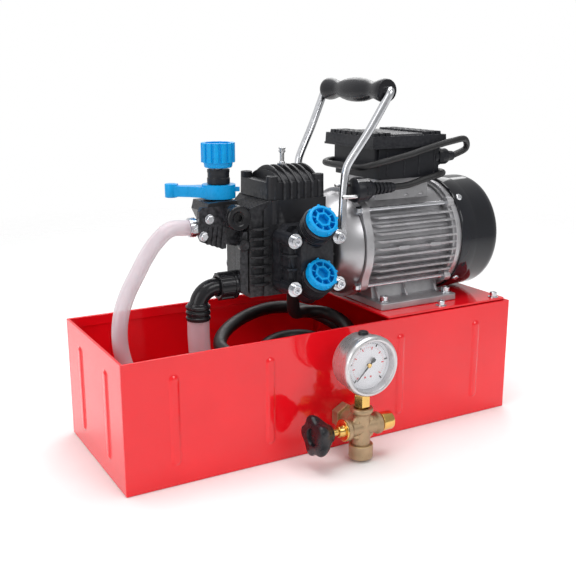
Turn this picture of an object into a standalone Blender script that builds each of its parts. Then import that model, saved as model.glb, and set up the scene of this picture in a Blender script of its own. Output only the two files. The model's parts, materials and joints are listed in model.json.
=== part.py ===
"""Motor-driven hydrostatic test pump on its water tank.

A twin-diaphragm pump and its single-phase motor stand on an open sheet-metal tank.
The origin is the centre of the tank's underside, +X runs along the tank to the
motor's fan end, the gauge side faces -Y and +Z is up. Dimensions are in
millimetres, and the mesh builders turn them into Blender's metres.
"""

import math

import bmesh
import bpy
from mathutils import Matrix, Vector

METRES = 0.001
GAP = 0.3  # clearance between pieces that touch

# Tank
TANK_LENGTH, TANK_WIDTH, TANK_HEIGHT = 488.6, 183.0, 136.5
SHEET = 1.5
HEM_HEIGHT = 11.5
RIB_WIDTH, RIB_DEPTH, RIB_LOW, RIB_HIGH = 12.0, 1.8, 21.0, 118.0
LONG_WALL_RIBS = (-191.0, -84.0, 83.0, 193.0)
END_WALL_RIBS = (-43.0, 43.0)
DECK_START, DECK_END, DECK_HALF_WIDTH, DECK_THICK = 67.0, 240.0, 88.0, 2.7
DECK_TOP = TANK_HEIGHT + GAP + DECK_THICK

# Motor
SHAFT_HEIGHT = 71.0
AXIS_Z = DECK_TOP + SHAFT_HEIGHT
FOOT_BOLTS = ((84.0, -56.0), (174.0, -56.0), (84.0, 56.0), (174.0, 56.0))
FRAME_START, FRAME_END = 64.0, 179.0
FRAME_BORE, CORE_RADIUS, FIN_TIP_RADIUS, FRAME_TOP_RADIUS = 52.0, 56.0, 66.5, 61.0
FIN_COUNT, FIN_PITCH, FIN_THICK = 9, 8.6, 2.2
ROD_Y, ROD_Z, ROD_RADIUS = 48.0, 44.0, 2.5
COVER_RADIUS, COVER_START, COVER_BEND, COVER_END, COVER_WALL = 70.0, 186.3, 232.0, 245.5, 1.8
SHAFT_RADIUS = 7.5
ROTOR_RADIUS = 30.0
FAN_BLADES = 8

# Terminal box and mains lead
BOX_START, BOX_END, BOX_HALF_WIDTH, BOX_FLOOR, BOX_TOP = 80.0, 165.0, 45.0, 286.0, 321.0
LID_START, LID_END, LID_HALF_WIDTH, LID_TOP = 68.0, 171.0, 50.0, 338.5
GLAND_Y, GLAND_Z = -38.0, 308.0
LEAD_RADIUS = 3.75
PLUG_Y, PLUG_Z, PLUG_FACE, PLUG_TAIL = -51.0, 278.0, 42.0, 96.0
PLUG_PIN_RADIUS, PLUG_PIN_LENGTH, PLUG_PIN_PITCH = 2.4, 19.0, 19.0

# Pump
PUMP_X = -19.0
CASE_LEFT, CASE_RIGHT, CASE_HALF_WIDTH, CASE_LOW, CASE_TOP = -78.0, 21.7, 37.7, 168.0, 271.5
HEAD_DEPTH, HEAD_HALF_LENGTH, HEAD_LOW, HEAD_HIGH = 35.0, 33.0, 172.0, 246.0
VALVE_TILT = math.radians(38.0)
VALVE_FACE_Y, VALVE_FACE_Z = 86.0, (197.5, 254.6)
VALVE_RADIUS, CAP_THICK = 18.0, 9.0
ECCENTRIC_RADIUS, ECCENTRIC_OFFSET = 15.0, 2.5

# Control unit
CONTROL_X = -96.5
LEVER_LOW, LEVER_HIGH, LEVER_HUB, LEVER_REACH = 273.3, 288.0, 18.0, 52.0
LEVER_REST = math.radians(147.0)
SLEEVE_TOP, KNOB_TOP, KNOB_RADIUS = 304.0, 332.0, 20.2
SUCTION_X, SUCTION_Y, SUCTION_PORT_Z = -132.6, -20.0, 181.0

# Gauge and valve cross
CROSS_X, CROSS_Y, CROSS_Z = 5.0, -130.0, 37.4
GAUGE_Z, GAUGE_FRONT, GAUGE_DEPTH, GAUGE_RADIUS = 109.3, -149.0, 32.0, 34.0

# Carry handle
HANDLE_ROD = 4.5
GRIP_X, GRIP_Z, GRIP_HALF = 78.0, 384.5, 60.0

# Hoses
SUCTION_HOSE, RETURN_HOSE, DELIVERY_HOSE = 12.0, 8.25, 7.75

COLOURS = {
    "red_paint": ((0.72, 0.01, 0.015), 0.25, 0.0),
    "black_plastic": ((0.02, 0.021, 0.026), 0.35, 0.0),
    "grey_casting": ((0.045, 0.045, 0.047), 0.45, 0.4),
    "blue_plastic": ((0.0, 0.3, 0.85), 0.3, 0.0),
    "aluminium": ((0.62, 0.61, 0.6), 0.4, 0.9),
    "brass": ((0.6, 0.42, 0.16), 0.35, 1.0),
    "zinc": ((0.7, 0.72, 0.75), 0.25, 1.0),
    "steel": ((0.5, 0.5, 0.52), 0.3, 1.0),
    "copper": ((0.5, 0.2, 0.08), 0.5, 0.6),
    "clear_hose": ((0.75, 0.66, 0.68), 0.2, 0.0),
    "black_rubber": ((0.015, 0.015, 0.015), 0.5, 0.0),
    "glass": ((0.85, 0.87, 0.88), 0.05, 0.0),
    "white_dial": ((0.85, 0.85, 0.84), 0.4, 0.0),
}


# ---------------------------------------------------------------- helpers

def clear_scene():
    for item in list(bpy.data.objects):
        bpy.data.objects.remove(item, do_unlink=True)


def material(name):
    found = bpy.data.materials.get(name)
    if found:
        return found
    colour, roughness, metallic = COLOURS[name]
    made = bpy.data.materials.new(name)
    made.use_nodes = True
    shader = made.node_tree.nodes["Principled BSDF"]
    shader.inputs["Base Color"].default_value = (*colour, 1.0)
    shader.inputs["Roughness"].default_value = roughness
    shader.inputs["Metallic"].default_value = metallic
    return made


def solid(name, mesh, finish):
    """An object of a closed bmesh in millimetres, with its own copy of a finish."""
    bmesh.ops.recalc_face_normals(mesh, faces=mesh.faces)
    mesh.transform(Matrix.Scale(METRES, 4))
    data = bpy.data.meshes.new(name)
    mesh.to_mesh(data)
    mesh.free()
    made = bpy.data.objects.new(name, data)
    bpy.context.scene.collection.objects.link(made)
    if finish:
        data.materials.append(material(finish))
    return made


def box(low, high, name="tool", finish=None, bevel=0.0):
    mesh = bmesh.new()
    size = [b - a for a, b in zip(low, high)]
    centre = [(a + b) / 2 for a, b in zip(low, high)]
    place = Matrix.Translation(centre) @ Matrix.Diagonal((*size, 1.0))
    bmesh.ops.create_cube(mesh, size=1.0, matrix=place)
    if bevel:
        bmesh.ops.bevel(mesh, geom=mesh.edges[:], offset=bevel, segments=1, affect="EDGES")
    return solid(name, mesh, finish)


def turn_frame(origin, direction):
    """A matrix that carries +Z onto the direction and the origin onto the given point."""
    turn = Vector((0, 0, 1)).rotation_difference(Vector(direction))
    return Matrix.Translation(origin) @ turn.to_matrix().to_4x4()


def turned(profile, origin, direction, name="tool", finish=None, segments=16):
    """Revolve (radius, height) points about an axis: a loop, or a profile with both ends on the axis."""
    mesh = bmesh.new()
    solid_core = profile[0][0] == 0
    points = profile[1:-1] if solid_core else profile
    angles = [2 * math.pi * i / segments for i in range(segments)]
    rings = [[mesh.verts.new((radius * math.cos(a), radius * math.sin(a), height)) for a in angles]
             for radius, height in points]
    if solid_core:
        mesh.faces.new(rings[0])
        mesh.faces.new(rings[-1])
    pairs = list(zip(rings, rings[1:]))
    if not solid_core:
        pairs.append((rings[-1], rings[0]))
    for lower, upper in pairs:
        for k in range(segments):
            n = (k + 1) % segments
            mesh.faces.new((lower[k], lower[n], upper[n], upper[k]))
    mesh.transform(turn_frame(origin, direction))
    return solid(name, mesh, finish)


def cylinder(start, end, radius, name="tool", finish=None, segments=16):
    length = (Vector(end) - Vector(start)).length
    profile = ((0, 0), (radius, 0), (radius, length), (0, length))
    return turned(profile, start, Vector(end) - Vector(start), name, finish, segments)


def ring(start, end, inner, outer, name="tool", finish=None, segments=16):
    length = (Vector(end) - Vector(start)).length
    profile = ((inner, 0), (outer, 0), (outer, length), (inner, length))
    return turned(profile, start, Vector(end) - Vector(start), name, finish, segments)


def prism(outline, origin, across, up, depth, name="tool", finish=None):
    """Extrude a flat outline, whose points run along the two given directions."""
    mesh = bmesh.new()
    across, up = Vector(across), Vector(up)
    normal = across.cross(up)
    base = [mesh.verts.new(Vector(origin) + across * a + up * b) for a, b in outline]
    face = mesh.faces.new(base)
    pushed = bmesh.ops.extrude_face_region(mesh, geom=[face])["geom"]
    moved = [item for item in pushed if isinstance(item, bmesh.types.BMVert)]
    bmesh.ops.translate(mesh, verts=moved, vec=normal * depth)
    return solid(name, mesh, finish)


def combine(base, tools, operation):
    """Apply Boolean modifiers with the tools, and remove them."""
    for tool in tools:
        modifier = base.modifiers.new(operation, "BOOLEAN")
        modifier.operation = operation
        modifier.object = tool
        modifier.solver = "EXACT"
    bpy.context.view_layer.update()
    depsgraph = bpy.context.evaluated_depsgraph_get()
    result = bpy.data.meshes.new_from_object(base.evaluated_get(depsgraph))
    base.modifiers.clear()
    base.data = result
    for tool in tools:
        bpy.data.objects.remove(tool, do_unlink=True)
    return base


def join(base, *tools):
    return combine(base, tools, "UNION")


def cut(base, *tools):
    return combine(base, tools, "DIFFERENCE")


def curve_through(points, spacing):
    """Evenly spaced points on a Catmull-Rom curve through the route's own points."""
    route = [Vector(p) for p in points]
    route = [2 * route[0] - route[1], *route, 2 * route[-1] - route[-2]]
    fine = []
    for a, b, c, d in zip(route, route[1:], route[2:], route[3:]):
        for i in range(24):
            t = i / 24
            fine.append(0.5 * (2 * b + (c - a) * t + (2 * a - 5 * b + 4 * c - d) * t**2
                               + (3 * b - a - 3 * c + d) * t**3))
    fine.append(route[-2])
    lengths = [0.0]
    for a, b in zip(fine, fine[1:]):
        lengths.append(lengths[-1] + (b - a).length)
    count = max(2, round(lengths[-1] / spacing))
    spaced, k = [], 0
    for i in range(count + 1):
        target = lengths[-1] * i / count
        while k < len(fine) - 2 and lengths[k + 1] < target:
            k += 1
        share = (target - lengths[k]) / (lengths[k + 1] - lengths[k])
        spaced.append(fine[k].lerp(fine[k + 1], min(share, 1.0)))
    return spaced


def tube(points, radius, spacing, name="tool", finish=None, resolution=3):
    """A round cord or bar: a bevelled curve with filled caps along a smooth route."""
    data = bpy.data.curves.new(name, "CURVE")
    data.dimensions = "3D"
    data.bevel_depth = radius * METRES
    data.bevel_resolution = resolution
    data.use_fill_caps = True
    spline = data.splines.new("POLY")
    route = curve_through(points, spacing)
    spline.points.add(len(route) - 1)
    for point, place in zip(spline.points, route):
        point.co = (*(place * METRES), 1.0)
    made = bpy.data.objects.new(name, data)
    bpy.context.scene.collection.objects.link(made)
    if finish:
        data.materials.append(material(finish))
    return made


def as_mesh(item):
    """Turn a curve object into a mesh object whose caps are welded to its sides."""
    bpy.context.view_layer.update()
    depsgraph = bpy.context.evaluated_depsgraph_get()
    data = bpy.data.meshes.new_from_object(item.evaluated_get(depsgraph))
    mesh = bmesh.new()
    mesh.from_mesh(data)
    bmesh.ops.remove_doubles(mesh, verts=mesh.verts, dist=1e-5)
    bmesh.ops.recalc_face_normals(mesh, faces=mesh.faces)
    mesh.to_mesh(data)
    mesh.free()
    name = item.name
    bpy.data.objects.remove(item, do_unlink=True)
    made = bpy.data.objects.new(name, data)
    bpy.context.scene.collection.objects.link(made)
    return made


def pivot(item, point):
    """Move an object's origin to a point on its joint's axis, leaving its shape in place."""
    place = Vector(point) * METRES
    item.data.transform(Matrix.Translation(-place))
    item.location = place
    return item


# ---------------------------------------------------------------- tank and deck

def capsule_outline(width, low, high, steps=4):
    """A slot outline with round ends, from its lowest to its highest point."""
    radius = width / 2
    points = []
    for centre, start in ((high - radius, 0.0), (low + radius, math.pi)):
        for i in range(steps + 1):
            angle = start + math.pi * i / steps
            points.append((radius * math.cos(angle), centre + radius * math.sin(angle)))
    return points


def tank():
    half_length, half_width = TANK_LENGTH / 2, TANK_WIDTH / 2
    body = box((-half_length, -half_width, 0), (half_length, half_width, TANK_HEIGHT),
               "tank", "red_paint", bevel=2.0)
    body = cut(body, box((-half_length - 9, -half_width - 9, TANK_HEIGHT - 2.0),
                         (half_length + 9, half_width + 9, TANK_HEIGHT + 9)))
    body = join(body, box((-half_length, -half_width, TANK_HEIGHT - 12),
                          (half_length, half_width, TANK_HEIGHT)))
    slot = capsule_outline(RIB_WIDTH, RIB_LOW, RIB_HIGH)
    for x in LONG_WALL_RIBS:
        front = prism(slot, (x, -half_width - RIB_DEPTH, 0), (-1, 0, 0), (0, 0, 1), RIB_DEPTH + 1)
        back = prism(slot, (x, half_width + RIB_DEPTH, 0), (1, 0, 0), (0, 0, 1), RIB_DEPTH + 1)
        body = join(body, front, back)
    for y in END_WALL_RIBS:
        left = prism(slot, (-half_length - RIB_DEPTH, y, 0), (0, 1, 0), (0, 0, 1), RIB_DEPTH + 1)
        right = prism(slot, (half_length + RIB_DEPTH, y, 0), (0, -1, 0), (0, 0, 1), RIB_DEPTH + 1)
        body = join(body, left, right)
    inner_length, inner_width = half_length - SHEET, half_width - SHEET
    hollow = box((-inner_length, -inner_width, SHEET),
                 (inner_length, inner_width, TANK_HEIGHT - HEM_HEIGHT))
    mouth = box((-inner_length + SHEET, -inner_width + SHEET, TANK_HEIGHT - HEM_HEIGHT - 5),
                (inner_length - SHEET, inner_width - SHEET, TANK_HEIGHT + 5))
    outlet = cylinder((CROSS_X, -half_width - 5, CROSS_Z), (CROSS_X, -half_width + 5, CROSS_Z), 10.8)
    return cut(body, hollow, mouth, outlet)


def deck_plate():
    plate = box((DECK_START, -DECK_HALF_WIDTH, TANK_HEIGHT + GAP), (DECK_END, DECK_HALF_WIDTH, DECK_TOP),
                "deck_plate", "red_paint", bevel=0.6)
    holes = [cylinder((x, y, TANK_HEIGHT - 2), (x, y, DECK_TOP + 2), 3.8, segments=12)
             for x, y in FOOT_BOLTS]
    return cut(plate, *holes)


# ---------------------------------------------------------------- motor

def frame_outline():
    """The extruded section of the motor frame: round top and bottom, level fins at the sides."""
    side = []
    reach = math.radians(50)
    for i in range(5):
        angle = -math.pi / 2 + (math.pi / 2 - reach) * i / 4
        side.append((FRAME_TOP_RADIUS * math.cos(angle), FRAME_TOP_RADIUS * math.sin(angle)))
    for k in range(FIN_COUNT):
        middle = (k - (FIN_COUNT - 1) / 2) * FIN_PITCH
        low, high = middle - FIN_THICK / 2, middle + FIN_THICK / 2
        corners = ((low, CORE_RADIUS), (low, FIN_TIP_RADIUS), (high, FIN_TIP_RADIUS), (high, CORE_RADIUS))
        side += [(math.sqrt(radius**2 - height**2), height) for height, radius in corners]
    side += [(a, -b) for a, b in reversed(side[:5])]
    return side + [(-a, b) for a, b in reversed(side) if a > 0.01]


def motor_frame():
    length = FRAME_END - FRAME_START
    body = prism(frame_outline(), (FRAME_START, 0, AXIS_Z), (0, 1, 0), (0, 0, 1), length,
                 "motor_frame", "aluminium")
    foot_low = DECK_TOP + GAP
    foot = box((74, -67, foot_low), (183, 67, 147.5), bevel=1.0)
    pedestal = box((80, -38, foot_low + 4), (176, 38, AXIS_Z - 45))
    saddle = box((84, -34, AXIS_Z + 48), (161, 34, BOX_FLOOR - GAP))
    body = join(body, foot, pedestal, saddle)
    bore = cylinder((FRAME_START - 5, 0, AXIS_Z), (FRAME_END + 5, 0, AXIS_Z), FRAME_BORE, segments=28)
    rods = [cylinder((FRAME_START - 5, y, AXIS_Z + z), (FRAME_END + 5, y, AXIS_Z + z), 3.6, segments=10)
            for y, z in rod_places()]
    holes = [cylinder((x, y, foot_low - 3), (x, y, 150), 3.8, segments=12) for x, y in FOOT_BOLTS]
    shield_room = cylinder((FRAME_END + 0.1, 0, AXIS_Z), (FRAME_END + 20, 0, AXIS_Z), 68.5, segments=28)
    return cut(body, bore, shield_room, *rods, *holes)


def rod_places():
    return [(side * ROD_Y, level * ROD_Z) for side in (-1, 1) for level in (-1, 1)]


def foot_bolt(number, x, y):
    """A socket-head screw with its nut under the deck."""
    profile = ((0, 131.5), (6.2, 131.5), (6.2, 136.4), (3.5, 136.4), (3.5, 147.8), (6.5, 147.8),
               (6.5, 153.8), (3.0, 153.8), (3.0, 151.0), (0, 151.0))
    return turned(profile, (x, y, 0), (0, 0, 1), f"foot_bolt_{number}", "zinc", segments=8)


def drive_end_shield():
    profile = ((9, 26), (46, 26), (49.5, 28.5), (57, 38), (61, 52), (64.5, 52.3), (64.5, 63.7),
               (51.5, 63.7), (51.5, 56), (24, 46), (17.8, 46), (17.8, 34), (9, 34))
    body = turned(profile, (0, 0, AXIS_Z), (1, 0, 0), "drive_end_shield", "aluminium", segments=24)
    bosses = [cylinder((52.6, y, AXIS_Z + z), (63.4, y, AXIS_Z + z), 8.5, segments=12)
              for y, z in rod_places()]
    lugs = [box((21.5, min(side * 38, side * 48.7), 222), (39, max(side * 38, side * 48.7), 243))
            for side in (-1, 1)]
    body = join(body, *bosses, *lugs)
    holes = [cylinder((50, y, AXIS_Z + z), (66, y, AXIS_Z + z), 2.9, segments=10) for y, z in rod_places()]
    return cut(body, *holes)


def rear_end_shield():
    profile = ((9, 186), (63, 186), (63, 197), (67.0, 197), (67.0, 179.3), (24, 179.3), (24, 170), (17.8, 170),
               (17.8, 182.5), (9, 182.5))
    body = turned(profile, (0, 0, AXIS_Z), (1, 0, 0), "rear_end_shield", "aluminium", segments=24)
    holes = [cylinder((176, y, AXIS_Z + z), (190, y, AXIS_Z + z), 2.9, segments=10)
             for y, z in rod_places()]
    return cut(body, *holes)


def tie_rod(number, y, z):
    """A stud through the flange, with its hexagon head on the pump side."""
    body = cylinder((48, y, AXIS_Z + z), (187.5, y, AXIS_Z + z), ROD_RADIUS,
                    f"tie_rod_{number}", "zinc", segments=10)
    head = turned(((0, 46.5), (4.4, 46.5), (4.4, 52), (0, 52)), (0, y, AXIS_Z + z), (1, 0, 0), segments=6)
    return join(body, head)


def bearing(name, start):
    return ring((start, 0, AXIS_Z), (start + 11, 0, AXIS_Z), SHAFT_RADIUS + GAP, 17.5, name, "steel")


def stator_core():
    """Laminations with the winding heads that stand out at both ends."""
    profile = ((31.5, 78), (46, 78), (46, 92), (FRAME_BORE - 1, 92), (FRAME_BORE - 1, 152), (46, 152),
               (46, 166), (31.5, 166))
    return turned(profile, (0, 0, AXIS_Z), (1, 0, 0), "stator_core", "copper", segments=20)


def rotor_shaft():
    """The motor shaft, which carries the rotor and runs on into the pump as its eccentric shaft."""
    profile = ((0, -68), (8, -68), (8, -58), (9.5, -58), (9.5, 22), (SHAFT_RADIUS, 24), (SHAFT_RADIUS, 60),
               (9.5, 60), (9.5, 84), (ROTOR_RADIUS, 84), (ROTOR_RADIUS, 160), (9.5, 160), (9.5, 168.5),
               (SHAFT_RADIUS, 168.5), (SHAFT_RADIUS, 222), (0, 222))
    body = turned(profile, (0, 0, AXIS_Z), (1, 0, 0), "rotor_shaft", "steel", segments=16)
    centre = AXIS_Z + ECCENTRIC_OFFSET
    return join(body, cylinder((PUMP_X - 12, 0, centre), (PUMP_X + 12, 0, centre), ECCENTRIC_RADIUS))


def cooling_fan():
    hub = ring((196, 0, AXIS_Z), (221, 0, AXIS_Z), SHAFT_RADIUS + GAP, 14, "cooling_fan", "black_plastic")
    disc = ring((198, 0, AXIS_Z), (200, 0, AXIS_Z), 11, 50, segments=20)
    blades = []
    for i in range(FAN_BLADES):
        blade = box((199, -1, 12), (220, 1, 58))
        turn = Matrix.Rotation(2 * math.pi * i / FAN_BLADES + 0.1, 4, "X")
        blade.data.transform(Matrix.Translation((0, 0, AXIS_Z * METRES)) @ turn)
        blades.append(blade)
    return join(hub, disc, *blades)


def fan_cover():
    """A drawn cap with a rounded rear edge and a ring of air slots in its end."""
    outer = [(COVER_RADIUS, COVER_START), (COVER_RADIUS, COVER_BEND)]
    outer += [(COVER_RADIUS - 9 * (1 - math.cos(a)), COVER_BEND + (COVER_END - COVER_BEND) * math.sin(a))
              for a in (math.radians(x) for x in (35, 65, 90))]
    inner = [(r - COVER_WALL, x - (COVER_WALL if x > COVER_BEND else 0)) for r, x in reversed(outer)]
    profile = [(0, COVER_END), *reversed(outer), *reversed(inner), (0, COVER_END - COVER_WALL)]
    body = turned(profile, (0, 0, AXIS_Z), (1, 0, 0), "fan_cover", "black_plastic", segments=30)
    slots = []
    for i in range(12):
        slot = box((COVER_END - 8, -3, 16), (COVER_END + 8, 3, 50))
        turn = Matrix.Rotation(2 * math.pi * (i + 0.5) / 12, 4, "X")
        slot.data.transform(Matrix.Translation((0, 0, AXIS_Z * METRES)) @ turn)
        slots.append(slot)
    return cut(body, *slots)


# ---------------------------------------------------------------- terminal box and mains lead

def terminal_box():
    body = box((BOX_START, -BOX_HALF_WIDTH, BOX_FLOOR), (BOX_END, BOX_HALF_WIDTH, BOX_TOP - GAP),
               "terminal_box", "black_plastic", bevel=1.5)
    hollow = box((BOX_START + 2.5, -BOX_HALF_WIDTH + 2.5, BOX_FLOOR + 2.5),
                 (BOX_END - 2.5, BOX_HALF_WIDTH - 2.5, BOX_TOP + 5))
    passage = cylinder((BOX_END - 8, GLAND_Y, GLAND_Z), (BOX_END + 5, GLAND_Y, GLAND_Z), 6.3)
    return cut(body, hollow, passage)


def terminal_box_lid():
    body = box((LID_START, -LID_HALF_WIDTH, BOX_TOP), (LID_END, LID_HALF_WIDTH, LID_TOP),
               "terminal_box_lid", "black_plastic", bevel=2.0)
    hollow = box((LID_START + 2.5, -LID_HALF_WIDTH + 2.5, BOX_TOP + 2.5),
                 (LID_END - 2.5, LID_HALF_WIDTH - 2.5, LID_TOP - 2.5))
    mouth = box((BOX_START + 3, -BOX_HALF_WIDTH + 3, BOX_TOP - 5),
                (BOX_END - 3, BOX_HALF_WIDTH - 3, BOX_TOP + 5))
    return cut(body, hollow, mouth)


def run_capacitor():
    return cylinder((92, 10, 305), (150, 10, 305), 15, "run_capacitor", "aluminium", segments=20)


def cable_gland():
    """The threaded body through the box wall, its nut and its tapered collar."""
    profile = ((LEAD_RADIUS, 158), (6, 158), (6, 165.3), (8.5, 165.3), (9.5, 168), (9.5, 178), (8, 184),
               (LEAD_RADIUS + 2, 190), (LEAD_RADIUS, 190))
    return turned(profile, (0, GLAND_Y, GLAND_Z), (1, 0, 0), "cable_gland", "black_plastic", segments=14)


def power_plug():
    """A two-pin earthed plug with a ribbed strain relief; its pins straddle the handle's leg."""
    axis = (0, PLUG_Y, PLUG_Z)
    profile = [(0, PLUG_FACE), (13.5, PLUG_FACE), (14, PLUG_FACE + 2), (14, 58), (8.5, 67), (7.2, 68)]
    for i in range(4):
        start = 70 + 5.5 * i
        radius = 7.3 - 0.3 * i
        profile += [(radius, start), (radius, start + 2.7), (5.4, start + 2.9), (5.4, start + 5.3)]
    profile += [(4.6, PLUG_TAIL), (0, PLUG_TAIL)]
    body = turned(profile, axis, (1, 0, 0), "power_plug", "black_plastic", segments=12)
    tilt = math.radians(37)
    reach = PLUG_PIN_PITCH / 2
    pins = []
    for side in (-1, 1):
        y, z = PLUG_Y + side * reach * math.cos(tilt), PLUG_Z + side * reach * math.sin(tilt)
        pin = cylinder((PLUG_FACE - PLUG_PIN_LENGTH, y, z), (PLUG_FACE + 3, y, z), PLUG_PIN_RADIUS, segments=8)
        pins.append(pin)
    return join(body, *pins)


def lead_route():
    """Out of the gland, once round the terminal box, back under its right end and to the plug."""
    return [(190.4, -38, 308), (200, -38, 309), (207, -41, 315), (206.5, -46, 323), (196, -51.5, 328),
            (182, -55, 327.8), (150, -55, 322), (111, -55, 313), (78, -55, 307.4), (62, -51, 303), (57, -38, 301),
            (57, 0, 300), (60, 35, 300), (74, 50, 301), (110, 51.5, 301), (150, 52, 299.5), (168, 50, 297.5),
            (176, 36, 295), (175.5, -5, 290.5), (175, -28, 290), (172.5, -44, 289.5), (162, -52.5, 289),
            (144, -53.5, 286.5), (126, -52.5, 281.5), (109, -51.2, 278.2), (96.3, -51, 278)]


# ---------------------------------------------------------------- pump

def crankcase():
    """The pump housing: one cross bore for the two diaphragms and one bore for the shaft."""
    slope = [(CASE_LEFT, CASE_LOW), (CASE_RIGHT, CASE_LOW), (CASE_RIGHT, CASE_TOP - 14), (12, CASE_TOP),
             (-50, CASE_TOP), (CASE_LEFT, 252)]
    body = prism(slope, (0, CASE_HALF_WIDTH, 0), (1, 0, 0), (0, 0, 1), 2 * CASE_HALF_WIDTH,
                 "crankcase", "grey_casting")
    grooves = [box((CASE_LEFT - 5, -CASE_HALF_WIDTH - 5, 186 + 8 * i), (-54, -CASE_HALF_WIDTH + 5, 191 + 8 * i))
               for i in range(7)]
    rear_step = box((CASE_LEFT - 10, 16, CASE_LOW - 5), (-62, CASE_HALF_WIDTH + 5, CASE_TOP + 5))
    cross = cylinder((PUMP_X, -50, AXIS_Z), (PUMP_X, 50, AXIS_Z), 25, segments=24)
    along = cylinder((-58.5, 0, AXIS_Z), (30, 0, AXIS_Z), 11)
    journal = cylinder((-69, 0, AXIS_Z), (-50, 0, AXIS_Z), 8.4)
    oil_way = cylinder((PUMP_X, 0, AXIS_Z), (PUMP_X, 0, 290), 14)
    return cut(body, *grooves, rear_step, cross, along, journal, oil_way)


def top_cover():
    """The oil chamber's cover, with curved fins from front to back and four corner bosses."""
    low = CASE_TOP + GAP
    body = box((-50, -35, low), (12, 35, 290), "top_cover", "grey_casting", bevel=1.0)
    fins = []
    crown = [(35 * math.cos(a), 290 + 16 * math.sin(a)) for a in (math.pi * i / 8 for i in range(9))]
    outline = [(-35, 280), (35, 280), *crown]
    for i in range(5):
        x = -34 + 9.5 * i
        fins.append(prism(outline, (x, 0, 0), (0, 1, 0), (0, 0, 1), 3.2))
    bosses = [cylinder((x, y, low + 1.5), (x, y, 296.5), 6.6, segments=12)
              for x in (-43, 5) for y in (-28, 28)]
    nozzle = cylinder((PUMP_X, 0, 285), (PUMP_X, 0, 304), 8.3)
    body = join(body, *fins, *bosses, nozzle)
    chamber = cylinder((PUMP_X, 0, low - 5), (PUMP_X, 0, 286), 24, segments=16)
    seat = cylinder((PUMP_X, 0, 280), (PUMP_X, 0, 310), 3.3, segments=12)
    flat = cylinder((PUMP_X, 0, 302.9), (PUMP_X, 0, 312), 7.5)
    return cut(body, chamber, seat, flat)


def air_valve():
    profile = ((0, 292), (3, 292), (3, 303.3), (5.5, 303.3), (5.5, 306.5), (3.2, 307), (3.2, 317), (3.9, 318),
               (3.9, 323.5), (1.2, 323.5), (1.2, 319), (0, 319))
    return turned(profile, (PUMP_X, 0, 0), (0, 0, 1), "air_valve", "steel", segments=16)


def pump_head(name, side):
    """A valve head: the block over its diaphragm and two tilted valve chambers with open mouths."""
    face, outer = side * (CASE_HALF_WIDTH + GAP + GAP), side * (CASE_HALF_WIDTH + HEAD_DEPTH)
    low, high = sorted((face, outer))
    body = box((PUMP_X - HEAD_HALF_LENGTH, low, HEAD_LOW), (PUMP_X + HEAD_HALF_LENGTH, high, HEAD_HIGH),
               name, "black_plastic", bevel=4.0)
    for z in VALVE_FACE_Z:
        mouth, inward = valve_axis(side, z)
        chamber = cylinder(mouth + inward * (CAP_THICK - 2), mouth + inward * 46, VALVE_RADIUS, segments=20)
        body = join(body, chamber)
    recess = cylinder((PUMP_X, face - side * 5, AXIS_Z), (PUMP_X, face + side * 5.5, AXIS_Z), 24, segments=24)
    seats = []
    for z in VALVE_FACE_Z:
        mouth, inward = valve_axis(side, z)
        seats.append(cylinder(mouth, mouth + inward * 26, 9.1))
        seat = cylinder(mouth - inward * 25, mouth + inward * (CAP_THICK + GAP), VALVE_RADIUS + 1, segments=20)
        seats.append(seat)
    return cut(body, recess, *seats)


def valve_axis(side, z):
    """The middle of a valve cap's face, and the direction into the head."""
    mouth = Vector((PUMP_X, side * VALVE_FACE_Y, z))
    inward = Vector((0, -side * math.cos(VALVE_TILT), -math.sin(VALVE_TILT)))
    return mouth, inward


def valve_cap(name, side, z):
    mouth, inward = valve_axis(side, z)
    profile = ((0, 3.5), (5.5, 3.5), (5.5, 0), (16, 0), (VALVE_RADIUS, 2), (VALVE_RADIUS, CAP_THICK),
               (8.5, CAP_THICK), (8.5, 19), (0, 19))
    return turned(profile, mouth, inward, name, "blue_plastic")


def diaphragm_piston(name, side):
    """A guide shoe that the eccentric pushes, its stem and the diaphragm plate."""
    profile = ((0, 21), (9, 21), (9, 25), (5.5, 25), (5.5, 32.5), (20, 32.5), (20, 35.5), (0, 35.5))
    piston = turned(profile, (PUMP_X, 0, AXIS_Z), (0, side, 0), name, "black_rubber")
    return pivot(piston, (PUMP_X, 0, AXIS_Z))


# ---------------------------------------------------------------- control unit

def control_body():
    """Regulator block, the manifold down to the suction port, and the stem the lever turns on."""
    body = box((-122, -24, 224), (-84, 18, 272.5), "control_body", "black_plastic", bevel=3.0)
    flange = box((-88.5, -21, 198), (CASE_LEFT - GAP, 13, 250), bevel=1.0)
    column = box((-88.5, -33, 172), (CASE_LEFT - GAP - 1, -9, 240), bevel=3.0)
    stem = cylinder((CONTROL_X, 0, 260), (CONTROL_X, 0, LEVER_HIGH + GAP), 8.5)
    port = cylinder((-92, -36, 256), (-92, -15, 256), 13.5)
    outlet = cylinder((-130, -12, 246), (-110, -12, 246), 8.5, segments=16)
    inlet = cylinder((-96.5, SUCTION_Y, SUCTION_PORT_Z), (-85, SUCTION_Y, SUCTION_PORT_Z), 10)
    body = join(body, flange, column, stem, port, outlet, inlet)
    passages = [
        cylinder((CONTROL_X, 0, 253), (CONTROL_X, 0, 300), 4.6, segments=16),
        cylinder((-92, -40, 256), (-92, -26.5, 256), 9.3, segments=16),
        cylinder((-140, -12, 246), (-116, -12, 246), 5.2, segments=12),
        cylinder((-110, SUCTION_Y, SUCTION_PORT_Z), (-84, SUCTION_Y, SUCTION_PORT_Z), 6.5),
    ]
    return cut(body, *passages)


def knob_sleeve():
    return ring((CONTROL_X, 0, LEVER_HIGH + 2 * GAP), (CONTROL_X, 0, SLEEVE_TOP), 4.6, 12.2,
                "knob_sleeve", "black_plastic")


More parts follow.
